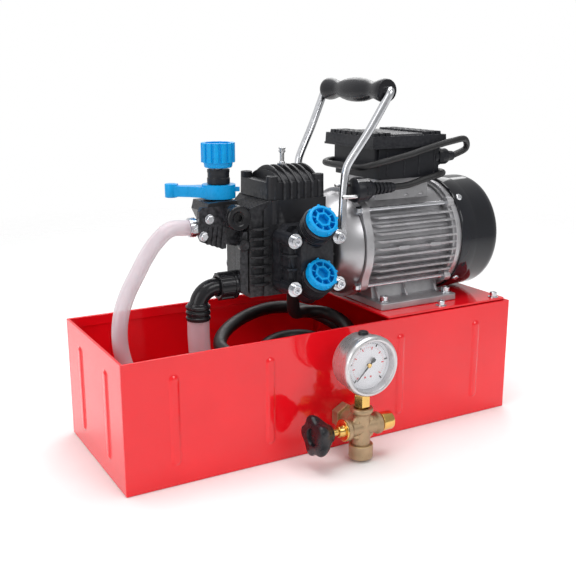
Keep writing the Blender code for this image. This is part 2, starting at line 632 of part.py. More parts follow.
def regulator_spindle():
    spindle = cylinder((CONTROL_X, 0, 262), (CONTROL_X, 0, 324), 4.0, "regulator_spindle", "steel")
    return pivot(spindle, (CONTROL_X, 0, SLEEVE_TOP))


def pressure_knob():
    """A fluted knob on a narrower foot, bored for the spindle."""
    low = SLEEVE_TOP + 0.5
    outline = []
    for i in range(12):
        for share, inset in ((0.0, 0), (0.5, 0), (0.62, 2), (0.88, 2)):
            radius = KNOB_RADIUS - inset
            angle = 2 * math.pi * (i + share) / 12
            outline.append((radius * math.cos(angle), radius * math.sin(angle)))
    body = prism(outline, (CONTROL_X, 0, low + 5.5), (1, 0, 0), (0, 1, 0), KNOB_TOP - low - 5.5,
                 "pressure_knob", "blue_plastic")
    profile = ((0, low), (16.3, low), (17.3, low + 7), (0, low + 7))
    foot = turned(profile, (CONTROL_X, 0, 0), (0, 0, 1), segments=20)
    dish = cylinder((CONTROL_X, 0, KNOB_TOP - 4), (CONTROL_X, 0, KNOB_TOP + 5), 14)
    bore = cylinder((CONTROL_X, 0, low - 5), (CONTROL_X, 0, 324.5), 4.3, segments=12)
    return pivot(cut(join(body, foot), dish, bore), (CONTROL_X, 0, SLEEVE_TOP))


def bypass_lever():
    """A ring round the stem, with a long arm that ends in a small block."""
    hub = ring((0, 0, LEVER_LOW), (0, 0, LEVER_HIGH), 8.9, LEVER_HUB, "bypass_lever", "blue_plastic",
               segments=20)
    arm = box((14, -5.5, LEVER_LOW + 2), (LEVER_REACH, 5.5, LEVER_HIGH - 1.5), bevel=1.0)
    tip = cylinder((LEVER_REACH, 0, LEVER_LOW), (LEVER_REACH, 0, LEVER_HIGH), 6.5)
    lever = join(hub, arm, tip)
    turn = Matrix.Rotation(LEVER_REST, 4, "Z")
    lever.data.transform(Matrix.Translation((CONTROL_X * METRES, 0, 0)) @ turn)
    return pivot(lever, (CONTROL_X, 0, LEVER_LOW))


def port_plug():
    profile = ((0, 3), (4, 3), (4, 0), (12.5, 0), (13.5, 1.5), (13.5, 5), (9, 5), (9, 13), (0, 13))
    return turned(profile, (-92, -41.3, 256), (0, 1, 0), "port_plug", "black_plastic", segments=20)


def union_nut():
    return ring((-110, SUCTION_Y, SUCTION_PORT_Z), (-89, SUCTION_Y, SUCTION_PORT_Z), 10.6, 15.5,
                "union_nut", "black_plastic")


def suction_elbow():
    """A hose elbow: tail inside the union nut, quarter bend and a ringed barb."""
    bend = 20.0
    centre = (SUCTION_X + bend, SUCTION_PORT_Z - bend)
    arc = [(centre[0] - bend * math.sin(a), SUCTION_Y, centre[1] + bend * math.cos(a))
           for a in (math.radians(15 * i) for i in range(7))]
    route = [(-97.2, SUCTION_Y, SUCTION_PORT_Z), (-105, SUCTION_Y, SUCTION_PORT_Z), *arc]
    body = as_mesh(tube(route, 9.6, 9, "suction_elbow", "black_plastic", resolution=4))
    low = 147.0
    rings = [(0, low)]
    for i in range(3):
        start = low + 6.4 * i
        rings += [(12.0, start), (13.2, start + 1.5), (13.2, start + 4), (12.0, start + 5.5)]
    rings += [(12.0, 167), (0, 167)]
    return join(body, turned(rings, (SUCTION_X, SUCTION_Y, 0), (0, 0, 1), segments=16))


def suction_strainer():
    profile = ((0, 1.8), (15, 1.8), (17, 4), (17, 30), (11, 34), (11, 39.7), (0, 39.7))
    body = turned(profile, (-128, -18, 0), (0, 0, 1), "suction_strainer", "black_plastic", segments=20)
    slots = []
    for i in range(6):
        slot = box((14.5, -2.5, 8), (22, 2.5, 26))
        turn = Matrix.Rotation(2 * math.pi * i / 6, 4, "Z")
        slot.data.transform(Matrix.Translation(Vector((-128, -18, 0)) * METRES) @ turn)
        slots.append(slot)
    return cut(body, *slots)


def return_barb():
    """The hose tail on the return port, with its clip pressed round the hose's end."""
    profile = ((3.2, -2), (4.9, -2), (4.9, 10), (9.5, 10), (9.5, 18), (3.2, 18))
    return turned(profile, (-120, -12, 246), (-1, 0, 0), "return_barb", "zinc", segments=20)


def outlet_fitting():
    """The delivery port's hose tail, straight down from the underside of the housing."""
    profile = ((0, 0), (7, 0), (7, 5), (10, 5), (10, 12), (8.5, 12), (8.5, 16), (0, 16))
    low = CASE_LOW - GAP - 16
    return turned(profile, (8, 22, low), (0, 0, 1), "outlet_fitting", "brass")


# ---------------------------------------------------------------- gauge and valve cross

def brass_cross():
    """The four-way body with its bottom cap, outlet nipple, and shank and nut through the tank wall."""
    x, y, z = CROSS_X, CROSS_Y, CROSS_Z
    body = cylinder((x - 22, y, z), (x + 22, y, z), 11.5, "brass_cross", "brass", segments=14)
    upright = cylinder((x, y, z - 20), (x, y, z + 22), 11.5, segments=14)
    shank = cylinder((x, y, z), (x, -76.3, z), 10.4, segments=14)
    collar = cylinder((x, -103, z), (x, -TANK_WIDTH / 2 - GAP, z), 15, segments=6)
    nut = cylinder((x, -TANK_WIDTH / 2 + SHEET + GAP, z), (x, -80, z), 15, segments=6)
    nipple = cylinder((x + 20, y, z), (x + 38, y, z), 10.2, segments=14)
    cap = turned(((0, 4.5), (10, 4.5), (12.5, 6), (12.5, 18), (0, 18)), (x, y, 0), (0, 0, 1), segments=18)
    body = join(body, upright, shank, collar, nut, nipple, cap)
    run = cylinder((x - 30, y, z), (x + 45, y, z), 6.5, segments=16)
    rise = cylinder((x, y, z - 12), (x, y, z + 14), 6.5, segments=16)
    gauge_port = cylinder((x, y, z + 12), (x, y, z + 30), 7.4, segments=16)
    return cut(body, run, rise, gauge_port)


def valve_bonnet():
    profile = ((4.2, 0), (12, 0), (12, 8), (9, 9), (9, 16), (4.2, 16))
    return turned(profile, (CROSS_X - 22.3, CROSS_Y, CROSS_Z), (-1, 0, 0), "valve_bonnet", "brass", segments=20)


def valve_spindle():
    spindle = cylinder((CROSS_X - 58, CROSS_Y, CROSS_Z), (CROSS_X - 10, CROSS_Y, CROSS_Z), 3.8,
                       "valve_spindle", "steel", segments=16)
    return pivot(spindle, (CROSS_X - 38, CROSS_Y, CROSS_Z))


def star_knob():
    """A five-lobed knob with a hub that reaches towards the bonnet."""
    origin = (CROSS_X - 62, CROSS_Y, CROSS_Z)
    outline = []
    for i in range(30):
        angle = 2 * math.pi * i / 30
        radius = 20.5 + 3.2 * math.cos(5 * angle)
        outline.append((radius * math.cos(angle), radius * math.sin(angle)))
    body = prism(outline, origin, (0, 1, 0), (0, 0, 1), 14, "star_knob", "black_plastic")
    hub = cylinder((origin[0] + 10, CROSS_Y, CROSS_Z), (CROSS_X - 39, CROSS_Y, CROSS_Z), 9, segments=20)
    dish = cylinder((origin[0] - 5, CROSS_Y, CROSS_Z), (origin[0] + 2.5, CROSS_Y, CROSS_Z), 14, segments=20)
    bore = cylinder((origin[0] + 3.7, CROSS_Y, CROSS_Z), (CROSS_X - 30, CROSS_Y, CROSS_Z), 4.1, segments=16)
    return pivot(cut(join(body, hub), dish, bore), (CROSS_X - 38, CROSS_Y, CROSS_Z))


def gauge_case():
    """Case and bezel, the filling plug on top and the hexagon stem below."""
    back = GAUGE_FRONT + GAUGE_DEPTH
    profile = ((0, 0), (31, 0), (31, 20), (GAUGE_RADIUS, 21), (GAUGE_RADIUS, GAUGE_DEPTH - 1.5),
               (GAUGE_RADIUS - 1.5, GAUGE_DEPTH), (29.5, GAUGE_DEPTH), (29.5, 2), (0, 2))
    body = turned(profile, (CROSS_X, back, GAUGE_Z), (0, -1, 0), "gauge_case", "steel", segments=24)
    plug = cylinder((CROSS_X, CROSS_Y, GAUGE_Z + 29), (CROSS_X, CROSS_Y, GAUGE_Z + 34.5), 5.5, segments=12)
    stem = cylinder((CROSS_X, CROSS_Y, 52), (CROSS_X, CROSS_Y, GAUGE_Z - 30), 7.0, segments=16)
    hexagon = cylinder((CROSS_X, CROSS_Y, CROSS_Z + 22.5), (CROSS_X, CROSS_Y, CROSS_Z + 36), 10, segments=6)
    return join(body, plug, stem, hexagon)


def gauge_glass():
    front = GAUGE_FRONT + 1.5
    return cylinder((CROSS_X, front, GAUGE_Z), (CROSS_X, front + 2, GAUGE_Z), 29.2, "gauge_glass", "glass",
                    segments=24)


def gauge_dial():
    front = GAUGE_FRONT + 9
    return ring((CROSS_X, front, GAUGE_Z), (CROSS_X, front + 1, GAUGE_Z), 1.6, 29.2, "gauge_dial", "white_dial",
                segments=24)


def gauge_needle():
    """The pointer on its arbor, resting at zero in the lower left."""
    front = GAUGE_FRONT + 6
    arbor = cylinder((CROSS_X, front - 1, GAUGE_Z), (CROSS_X, GAUGE_FRONT + 16, GAUGE_Z), 1.2,
                     "gauge_needle", "black_plastic", segments=12)
    hub = cylinder((CROSS_X, front - 1, GAUGE_Z), (CROSS_X, front + 1.5, GAUGE_Z), 3.5, segments=16)
    rest = math.radians(225)
    tip, side = Vector((math.cos(rest), 0, math.sin(rest))), Vector((-math.sin(rest), 0, math.cos(rest)))
    blade = prism([(-8, -1.6), (21, -0.5), (21, 0.5), (-8, 1.6)], (CROSS_X, front, GAUGE_Z), tip, side, 0.8)
    return pivot(join(arbor, hub, blade), (CROSS_X, front, GAUGE_Z))


# ---------------------------------------------------------------- handle and hoses

def handle_frame():
    """One bar: an eye on each side of the bell, the two legs and the run inside the grip."""
    leg = [(25, -53.5, 232), (26, -53.5, 241), (27, -52.8, 250), (28.2, -51.5, 262), (29.3, -51, 278),
           (30.6, -51, 291), (31.6, -51.4, 299), (35.5, -53, 310), (54.6, -59.4, 341), (72.5, -65.3, 374),
           (76.3, -66.3, 381.5), (GRIP_X, -64.5, GRIP_Z), (GRIP_X, -58, GRIP_Z), (GRIP_X, -48, GRIP_Z)]
    route = leg + [(x, -y, z) for x, y, z in reversed(leg)]
    body = as_mesh(tube(route, HANDLE_ROD, 10, "handle_frame", "zinc", resolution=2))
    eyes = [cylinder((25, side * 49.0, 232), (25, side * 54.0, 232), 7.5) for side in (-1, 1)]
    return join(body, *eyes)


def handle_grip():
    """A turned grip: a bulb at each end, two waists and a fuller middle."""
    inner = HANDLE_ROD + 1.9
    half = []
    for i in range(7):
        y = GRIP_HALF * (i / 6)
        swell = 13.5 - 4.2 * math.sin(math.pi * min(1.0, y / 44)) ** 2 if y <= 44 else 12.3
        half.append((swell, y))
    profile = [(inner, -GRIP_HALF), (10.5, -GRIP_HALF)]
    profile += [(radius, -y) for radius, y in reversed(half[1:-1])]
    profile += [(radius, y) for radius, y in half[:-1]]
    profile += [(10.5, GRIP_HALF), (inner, GRIP_HALF)]
    return turned(profile, (GRIP_X, 0, GRIP_Z), (0, 1, 0), "handle_grip", "black_rubber", segments=14)


def hoses():
    tube([(SUCTION_X, SUCTION_Y, 146.7), (SUCTION_X, SUCTION_Y, 125), (-130, -19, 85), (-128, -18, 65),
          (-128, -18, 40.1)], SUCTION_HOSE, 25, "suction_hose", "clear_hose")
    tube([(-138.4, -12, 246), (-158, -12, 246), (-178, -14, 231), (-195, -17, 208), (-213, -20, 178),
          (-221, -23, 148), (-219, -27, 117), (-206, -32, 82), (-187, -37, 52), (-168, -41, 30)],
         RETURN_HOSE, 20, "return_hose", "clear_hose")
    tube([(8, 22, 151.2), (8, 22, 131), (17, 28, 123), (34, 36, 120), (53, 33, 118), (65, 12, 113),
          (62, -18, 107), (42, -44, 101), (5, -60, 98), (-40, -58, 97), (-78, -38, 98), (-95, -2, 101),
          (-82, 32, 106), (-48, 62, 112), (-8, 77, 117), (28, 77, 117), (57, 60, 110), (71, 28, 101),
          (68, -8, 93), (44, -38, 85), (4, -48, 79), (-32, -32, 76), (-42, 4, 79), (-22, 38, 84), (12, 51, 87),
          (42, 38, 86), (56, 8, 77), (47, -20, 61), (24, -36, 46), (9, -42, 38.5), (CROSS_X, -54, CROSS_Z),
          (CROSS_X, -75.8, CROSS_Z)],
         DELIVERY_HOSE, 20, "delivery_hose", "black_rubber", resolution=2)
    tube(lead_route(), LEAD_RADIUS, 15, "power_cable", "black_rubber", resolution=2)


# ---------------------------------------------------------------- assembly

def build():
    clear_scene()
    tank()
    deck_plate()
    motor_frame()
    for number, (x, y) in enumerate(FOOT_BOLTS, 1):
        foot_bolt(number, x, y)
    drive_end_shield()
    rear_end_shield()
    for number, (y, z) in enumerate(rod_places(), 1):
        tie_rod(number, y, z)
    bearing("front_bearing", 34.4)
    bearing("rear_bearing", 170.8)
    stator_core()
    pivot(rotor_shaft(), (0, 0, AXIS_Z))
    pivot(cooling_fan(), (0, 0, AXIS_Z))
    fan_cover()
    terminal_box()
    terminal_box_lid()
    run_capacitor()
    cable_gland()
    power_plug()
    crankcase()
    top_cover()
    air_valve()
    for place, side in (("front", -1), ("rear", 1)):
        pump_head(f"{place}_head", side)
        valve_cap(f"{place}_suction_cap", side, VALVE_FACE_Z[0])
        valve_cap(f"{place}_delivery_cap", side, VALVE_FACE_Z[1])
        diaphragm_piston(f"{place}_piston", side)
    control_body()
    knob_sleeve()
    regulator_spindle()
    pressure_knob()
    bypass_lever()
    port_plug()
    union_nut()
    suction_elbow()
    suction_strainer()
    return_barb()
    outlet_fitting()
    brass_cross()
    valve_bonnet()
    valve_spindle()
    star_knob()
    gauge_case()
    gauge_glass()
    gauge_dial()
    gauge_needle()
    handle_frame()
    handle_grip()
    hoses()


build()
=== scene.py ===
"""Motor-driven pressure-test pump: looks, hoses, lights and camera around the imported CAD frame.

Shapes are given in millimetres in the row frame and turned into metres as they are made.
"""

import json
import math

import bmesh
import bpy
from mathutils import Euler, Matrix, Vector


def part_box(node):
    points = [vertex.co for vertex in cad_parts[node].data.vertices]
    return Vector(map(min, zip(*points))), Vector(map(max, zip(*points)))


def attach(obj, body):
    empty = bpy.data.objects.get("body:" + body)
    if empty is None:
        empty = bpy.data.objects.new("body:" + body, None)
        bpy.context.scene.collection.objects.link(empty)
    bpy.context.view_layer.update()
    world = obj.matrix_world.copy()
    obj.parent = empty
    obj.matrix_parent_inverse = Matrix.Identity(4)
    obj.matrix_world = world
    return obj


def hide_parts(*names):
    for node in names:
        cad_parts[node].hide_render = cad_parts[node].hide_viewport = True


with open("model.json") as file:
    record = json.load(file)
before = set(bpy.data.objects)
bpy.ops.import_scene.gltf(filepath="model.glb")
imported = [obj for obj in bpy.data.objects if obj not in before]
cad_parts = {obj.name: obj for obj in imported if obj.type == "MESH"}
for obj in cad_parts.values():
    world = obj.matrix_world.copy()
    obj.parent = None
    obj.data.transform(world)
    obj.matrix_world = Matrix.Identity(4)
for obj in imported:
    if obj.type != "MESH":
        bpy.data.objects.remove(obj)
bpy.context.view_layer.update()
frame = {"nodes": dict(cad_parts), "record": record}

MM = 0.001
X, Y, Z = Vector((1, 0, 0)), Vector((0, 1, 0)), Vector((0, 0, 1))


def span(node):
    """Lowest and highest corner of a CAD node, in millimetres."""
    low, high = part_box(node)
    return low / MM, high / MM


def middle(node):
    low, high = span(node)
    return (low + high) / 2


AXIS_Z = middle("stator_core").z
PUMP_X = middle("top_cover").x
CONTROL_X = middle("knob_sleeve").x


# ---------------------------------------------------------------- camera

camera = bpy.data.objects.new("camera", bpy.data.cameras.new("camera"))
bpy.context.scene.collection.objects.link(camera)
camera.location = (-0.4838, -0.8363, 0.4050)
camera.rotation_euler = Euler([math.radians(a) for a in (75.851, 0.0, -29.463)])
camera.data.lens = 53.81
camera.data.sensor_width = 36.0
camera.data.clip_start = 0.01
bpy.context.scene.camera = camera


# ---------------------------------------------------------------- materials

def node(tree, kind, **settings):
    made = tree.nodes.new("ShaderNode" + kind)
    for key, value in settings.items():
        setattr(made, key, value)
    return made


def noise(tree, scale, detail=4.0, stretch=(1, 1, 1)):
    """A noise in object space, whose scale is per metre."""
    place = node(tree, "TexCoord")
    mapping = node(tree, "Mapping")
    mapping.inputs["Scale"].default_value = stretch
    made = node(tree, "TexNoise")
    made.inputs["Scale"].default_value = scale
    made.inputs["Detail"].default_value = detail
    tree.links.new(place.outputs["Object"], mapping.inputs["Vector"])
    tree.links.new(mapping.outputs["Vector"], made.inputs["Vector"])
    return made.outputs["Fac"]


def remap(tree, value, low, high, new_low, new_high):
    made = node(tree, "MapRange")
    for socket, number in zip(("From Min", "From Max", "To Min", "To Max"), (low, high, new_low, new_high)):
        made.inputs[socket].default_value = number
    tree.links.new(value, made.inputs["Value"])
    return made.outputs["Result"]


def blend_colours(tree, share, first, second):
    """A mix of two colours, each given as numbers or as a socket; the share is a socket."""
    made = node(tree, "Mix", data_type="RGBA")
    tree.links.new(share, made.inputs["Factor"])
    for socket, colour in ((made.inputs[6], first), (made.inputs[7], second)):
        if isinstance(colour, tuple):
            socket.default_value = (*colour, 1.0)
        else:
            tree.links.new(colour, socket)
    return made.outputs[2]


def scaled(colour, factor):
    return tuple(min(1.0, c * factor) for c in colour)


def finish(name, colour, rough, metal=0.0, spread=0.1, blotch=30.0, rough_spread=0.08, grain=900.0,
           bump=0.15, depth=0.00005, stretch=(1, 1, 1), wear_and_edge_highlight=None, coat=0.0, ripple=0.0, speck=None, gleam=0.5):
    """A surface with drifting colour, uneven gloss, fine relief and, if asked, specks and an edge colour: rubbed
    edges on most finishes, a painted highlight along the pump casting's edges.
    """
    made = bpy.data.materials.new(name)
    made.use_nodes = True
    tree = made.node_tree
    shader = tree.nodes["Principled BSDF"]
    shader.inputs["Metallic"].default_value = metal
    shader.inputs["Coat Weight"].default_value = coat
    shader.inputs["Coat Roughness"].default_value = 0.04
    shader.inputs["Specular IOR Level"].default_value = gleam
    drift = remap(tree, noise(tree, blotch, 3.0), 0.3, 0.7, 0.0, 1.0)
    base = blend_colours(tree, drift, scaled(colour, 1 - spread), scaled(colour, 1 + spread))
    if speck:
        spots = remap(tree, noise(tree, speck[0], 2.0), speck[1], speck[1] + 0.08, 0.0, 1.0)
        base = blend_colours(tree, spots, base, speck[2])
    gloss = remap(tree, noise(tree, blotch * 4, 5.0, stretch), 0.3, 0.7,
                  max(0.02, rough - rough_spread), min(1.0, rough + rough_spread))
    # Edge colour on sharp convex edges: rubbed edges on most finishes; on the pump casting it is a painted
    # highlight standing in for light glinting on the fin and bevel edges.
    if wear_and_edge_highlight:
        edge = node(tree, "NewGeometry").outputs["Pointiness"]
        chance = remap(tree, noise(tree, 260.0, 4.0), 0.35, 0.65, 0.0, 1.0)
        edge_rub_and_highlight = remap(tree, edge, 0.54, 0.62, 0.0, wear_and_edge_highlight[1])
        both = node(tree, "Math", operation="MULTIPLY")
        tree.links.new(chance, both.inputs[0])
        tree.links.new(edge_rub_and_highlight, both.inputs[1])
        base = blend_colours(tree, both.outputs[0], base, wear_and_edge_highlight[0])
    tree.links.new(base, shader.inputs["Base Color"])
    tree.links.new(gloss, shader.inputs["Roughness"])
    relief = node(tree, "Bump")
    relief.inputs["Strength"].default_value = bump
    relief.inputs["Distance"].default_value = depth
    tree.links.new(noise(tree, grain, 6.0, stretch), relief.inputs["Height"])
    last = relief
    if ripple:
        wave = node(tree, "Bump")
        wave.inputs["Strength"].default_value = 1.0
        wave.inputs["Distance"].default_value = ripple
        tree.links.new(noise(tree, 22.0, 2.0), wave.inputs["Height"])
        tree.links.new(relief.outputs["Normal"], wave.inputs["Normal"])
        last = wave
    tree.links.new(last.outputs["Normal"], shader.inputs["Normal"])
    return made


def clear_tube(name, colour, alpha):
    """Soft clear hose: a milky tint, part of it seen through, with a glossy skin."""
    made = finish(name, colour, 0.16, spread=0.06, grain=300.0, bump=0.08, depth=0.0001, coat=0.6)
    tree = made.node_tree
    shader = tree.nodes["Principled BSDF"]
    facing = node(tree, "LayerWeight")
    facing.inputs["Blend"].default_value = 0.35
    edge = remap(tree, facing.outputs["Facing"], 0.0, 1.0, alpha, min(1.0, alpha + 0.5))
    tree.links.new(edge, shader.inputs["Alpha"])
    shader.inputs["Subsurface Weight"].default_value = 0.15
    shader.inputs["Subsurface Radius"].default_value = (0.01, 0.006, 0.006)
    return made


RED = finish("red_enamel", (0.90, 0.006, 0.014), 0.09, spread=0.05, blotch=12.0, rough_spread=0.03,
             grain=700.0, bump=0.05, depth=0.00008, coat=0.35, ripple=0.00022,
             wear_and_edge_highlight=((0.55, 0.01, 0.02), 0.5))
CAST_ALUMINIUM = finish("cast_aluminium", (0.50, 0.495, 0.51), 0.42, metal=0.75, spread=0.14, blotch=45.0,
                        rough_spread=0.12, grain=1500.0, bump=0.35, depth=0.00012,
                        wear_and_edge_highlight=((0.85, 0.85, 0.86), 0.8), speck=(900.0, 0.66, (0.28, 0.28, 0.29)))
TURNED_ALUMINIUM = finish("turned_aluminium", (0.50, 0.495, 0.51), 0.34, metal=0.85, spread=0.05, blotch=30.0,
                          rough_spread=0.04, grain=700.0, bump=0.1, depth=0.00003, stretch=(3, 1, 1))
ZINC = finish("zinc_plate", (0.72, 0.73, 0.76), 0.2, metal=1.0, spread=0.1, blotch=60.0, rough_spread=0.08,
              grain=1200.0, bump=0.12, depth=0.00003, speck=(500.0, 0.66, (0.7, 0.62, 0.68)))
STAINLESS = finish("stainless", (0.62, 0.62, 0.63), 0.22, metal=1.0, spread=0.06, blotch=40.0,
                   rough_spread=0.07, grain=900.0, bump=0.18, depth=0.00003, stretch=(1, 1, 9))
SATIN_STEEL = finish("satin_steel", (0.66, 0.65, 0.66), 0.3, metal=0.8, spread=0.06, rough_spread=0.05,
                     grain=900.0, bump=0.1, depth=0.00003, stretch=(1, 12, 1))
GLOSS_BLACK = finish("gloss_black", (0.012, 0.013, 0.017), 0.09, spread=0.3, blotch=18.0, rough_spread=0.04,
                     grain=500.0, bump=0.06, depth=0.00006, coat=0.1, ripple=0.00008,
                     wear_and_edge_highlight=((0.06, 0.06, 0.07), 0.5), gleam=0.4)
SATIN_BLACK = finish("satin_black", (0.013, 0.014, 0.018), 0.34, spread=0.12, blotch=40.0, rough_spread=0.05,
                     grain=2600.0, bump=0.2, depth=0.00005, wear_and_edge_highlight=((0.05, 0.05, 0.055), 0.5), gleam=0.32)
FITTING_BLACK = finish("fitting_black", (0.013, 0.013, 0.015), 0.2, spread=0.2, blotch=35.0, rough_spread=0.08,
                       grain=900.0, bump=0.2, depth=0.00008, coat=0.05, wear_and_edge_highlight=((0.07, 0.07, 0.08), 0.6), gleam=0.32)
# The light edge colour here is a painted highlight: it lightens fin and bevel edges to stand in for glints, not
# rubbing.
PUMP_GREY = finish("pump_casting", (0.021, 0.021, 0.024), 0.42, metal=0.15, spread=0.1, blotch=60.0,
                   rough_spread=0.07, grain=2600.0, bump=0.4, depth=0.00007,
                   wear_and_edge_highlight=((0.15, 0.15, 0.155), 0.6), speck=(2200.0, 0.70, (0.045, 0.045, 0.047)), gleam=0.32)
AZURE = finish("azure_nylon", (0.0, 0.34, 0.76), 0.3, spread=0.06, blotch=50.0, rough_spread=0.06,
               grain=1500.0, bump=0.25, depth=0.00006, wear_and_edge_highlight=((0.03, 0.45, 0.85), 0.5), gleam=0.3)
RUBBER = finish("black_rubber", (0.011, 0.011, 0.012), 0.45, spread=0.2, blotch=60.0, rough_spread=0.08,
                grain=1300.0, bump=0.35, depth=0.00008)
GRIP = finish("grip_plastic", (0.013, 0.013, 0.016), 0.3, spread=0.12, blotch=50.0, rough_spread=0.05,
              grain=2600.0, bump=0.25, depth=0.00005, gleam=0.35)
CAST_BRASS = finish("cast_brass", (0.46, 0.33, 0.20), 0.42, metal=0.7, spread=0.14, blotch=80.0,
                    rough_spread=0.1, grain=1500.0, bump=0.5, depth=0.00012,
                    wear_and_edge_highlight=((0.75, 0.55, 0.25), 0.8), speck=(700.0, 0.65, (0.3, 0.2, 0.1)))
BRIGHT_BRASS = finish("turned_brass", (0.80, 0.52, 0.16), 0.2, metal=1.0, spread=0.06, blotch=60.0,
                      rough_spread=0.06, grain=500.0, bump=0.2, depth=0.00004, stretch=(8, 1, 1))
COPPER = finish("varnished_copper", (0.5, 0.2, 0.08), 0.35, metal=0.8, grain=300.0, bump=0.6, depth=0.0004)
DIAL_WHITE = finish("dial_white", (0.88, 0.88, 0.92), 0.35, spread=0.02, grain=900.0, bump=0.05,
                    depth=0.00002)
MARK_BLACK = finish("mark_black", (0.01, 0.01, 0.012), 0.4, spread=0.2, bump=0.05)
MARK_RED = finish("mark_red", (0.75, 0.05, 0.06), 0.4, spread=0.1, bump=0.05)
CLEAR_HOSE = clear_tube("clear_hose", (0.80, 0.70, 0.75), 0.42)
MIST = clear_tube("hose_bore", (0.70, 0.55, 0.62), 0.30)
LID_GREY = finish("lid_panel", (0.06, 0.06, 0.065), 0.22, spread=0.1, grain=1800.0, bump=0.25, depth=0.00005)


def gauge_window():
    """Thin clear plate with faint smears."""
    made = bpy.data.materials.new("gauge_window")
    made.use_nodes = True
    tree = made.node_tree
    shader = tree.nodes["Principled BSDF"]
    shader.inputs["Base Color"].default_value = (0.9, 0.93, 0.95, 1.0)
    shader.inputs["Alpha"].default_value = 0.06
    smear = remap(tree, noise(tree, 40.0), 0.3, 0.7, 0.02, 0.06)
    tree.links.new(smear, shader.inputs["Roughness"])
    return made


WINDOW = gauge_window()


# ---------------------------------------------------------------- shapes

def frame_of(origin, direction):
    """A matrix that carries +Z onto the direction, and the origin onto the given point."""
    turn = Z.rotation_difference(Vector(direction))
    return Matrix.Translation(Vector(origin)) @ turn.to_matrix().to_4x4()


class Shape:
    """Closed shells in millimetres, gathered into one object."""

    def __init__(self):
        self.mesh = bmesh.new()

    def lathe(self, profile, origin, direction, segments=48, phase=0.0, place=None):
        """Revolve (radius, height) points; a profile that doesn't start on the axis is a closed loop."""
        core = profile[0][0] == 0
        points = [p for p in profile if p[0] > 0] if core else list(profile)
        place = place or frame_of(origin, direction)
        angles = [phase + 2 * math.pi * i / segments for i in range(segments)]
        rings = [[self.mesh.verts.new(place @ Vector((r * math.cos(a), r * math.sin(a), h))) for a in angles]
                 for r, h in points]
        faces = []
        if core:
            faces += [self.mesh.faces.new(list(reversed(rings[0]))), self.mesh.faces.new(rings[-1])]
        loops = list(zip(rings, rings[1:])) + ([] if core else [(rings[-1], rings[0])])
        for lower, upper in loops:
            for k in range(segments):
                n = (k + 1) % segments
                faces.append(self.mesh.faces.new((lower[k], lower[n], upper[n], upper[k])))
        return self

    def rod(self, start, end, radius, segments=32, phase=0.0, taper=None, soft=0.0):
        start, end = Vector(start), Vector(end)
        length = (end - start).length
        last = radius if taper is None else taper
        if soft:
            profile = ((0, 0), (radius - soft, 0), (radius - soft * 0.3, soft * 0.3), (radius, soft),
                       (last, length - soft), (last - soft * 0.3, length - soft * 0.3), (last - soft, length),
                       (0, length))
        else:
            profile = ((0, 0), (radius, 0), (last, length), (0, length))
        return self.lathe(profile, start, end - start, segments, phase)

    def ring(self, start, end, inner, outer, segments=48):
        start, end = Vector(start), Vector(end)
        length = (end - start).length
        return self.lathe(((inner, 0), (outer, 0), (outer, length), (inner, length)), start, end - start,
                          segments)

    def prism(self, outline, origin, across, up, depth, inset=0.0):
        """Extrude a flat outline along across x up; inset narrows the far end, as a draft angle does."""
        across, up, origin = Vector(across), Vector(up), Vector(origin)
        normal = across.cross(up)
        mid = [sum(p[i] for p in outline) / len(outline) for i in (0, 1)]
        far = [tuple(mid[i] + (p[i] - mid[i]) * (1 - inset) for i in (0, 1)) for p in outline]
        near = [self.mesh.verts.new(origin + across * a + up * b) for a, b in outline]
        away = [self.mesh.verts.new(origin + across * a + up * b + normal * depth) for a, b in far]
        self.mesh.faces.new(list(reversed(near)))
        self.mesh.faces.new(away)
        count = len(near)
        for k in range(count):
            n = (k + 1) % count
            self.mesh.faces.new((near[k], near[n], away[n], away[k]))
        return self

    def block(self, low, high):
        (x0, y0, z0), (x1, y1, z1) = low, high
        return self.prism([(x0, y0), (x1, y0), (x1, y1), (x0, y1)], (0, 0, z0), X, Y, z1 - z0)

    def hexagon(self, start, end, radius, phase=0.0):
        return self.rod(start, end, radius, segments=6, phase=phase)

    def sweep(self, points, radii, segments=20):
        """A tube of changing radius along a path."""
        points = [Vector(p) for p in points]
        tangent = (points[1] - points[0]).normalized()
        side = tangent.orthogonal().normalized()
        rings = []
        for i, point in enumerate(points):
            ahead = (points[min(i + 1, len(points) - 1)] - points[max(i - 1, 0)]).normalized()
            side = (side - ahead * side.dot(ahead)).normalized()
            other = ahead.cross(side)
            radius = radii[i] if hasattr(radii, "__len__") else radii
            rings.append([self.mesh.verts.new(point + side * (radius * math.cos(a))
                                              + other * (radius * math.sin(a)))
                          for a in (2 * math.pi * k / segments for k in range(segments))])
        self.mesh.faces.new(list(reversed(rings[0])))
        self.mesh.faces.new(rings[-1])
        for lower, upper in zip(rings, rings[1:]):
            for k in range(segments):
                n = (k + 1) % segments
                self.mesh.faces.new((lower[k], lower[n], upper[n], upper[k]))
        return self

    def turned_by(self, matrix):
        self.mesh.transform(matrix)
        return self

    def make(self, name, finish_of, body="base", slot=None, stands_for=(), bevel=0.0, steps=2, angle=32,
             smooth=38):
        """Turn the shells into one piece in metres, with its finish, soft edges and body; the slot is not used."""
        bmesh.ops.recalc_face_normals(self.mesh, faces=self.mesh.faces)
        self.mesh.transform(Matrix.Scale(MM, 4))
        data = bpy.data.meshes.new(name)
        self.mesh.to_mesh(data)
        self.mesh.free()
        made = bpy.data.objects.new(name, data)
        bpy.context.scene.collection.objects.link(made)
        data.materials.append(finish_of)
        data.shade_smooth()
        data.set_sharp_from_angle(angle=math.radians(smooth))
        if bevel:
            soft = made.modifiers.new("soft_edges", "BEVEL")
            soft.width = bevel * MM
            soft.segments = steps
            soft.limit_method = "ANGLE"
            soft.angle_limit = math.radians(angle)
            soft.harden_normals = True
        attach(made, body)
        if stands_for:
            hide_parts(*((stands_for,) if isinstance(stands_for, str) else stands_for))
        return made


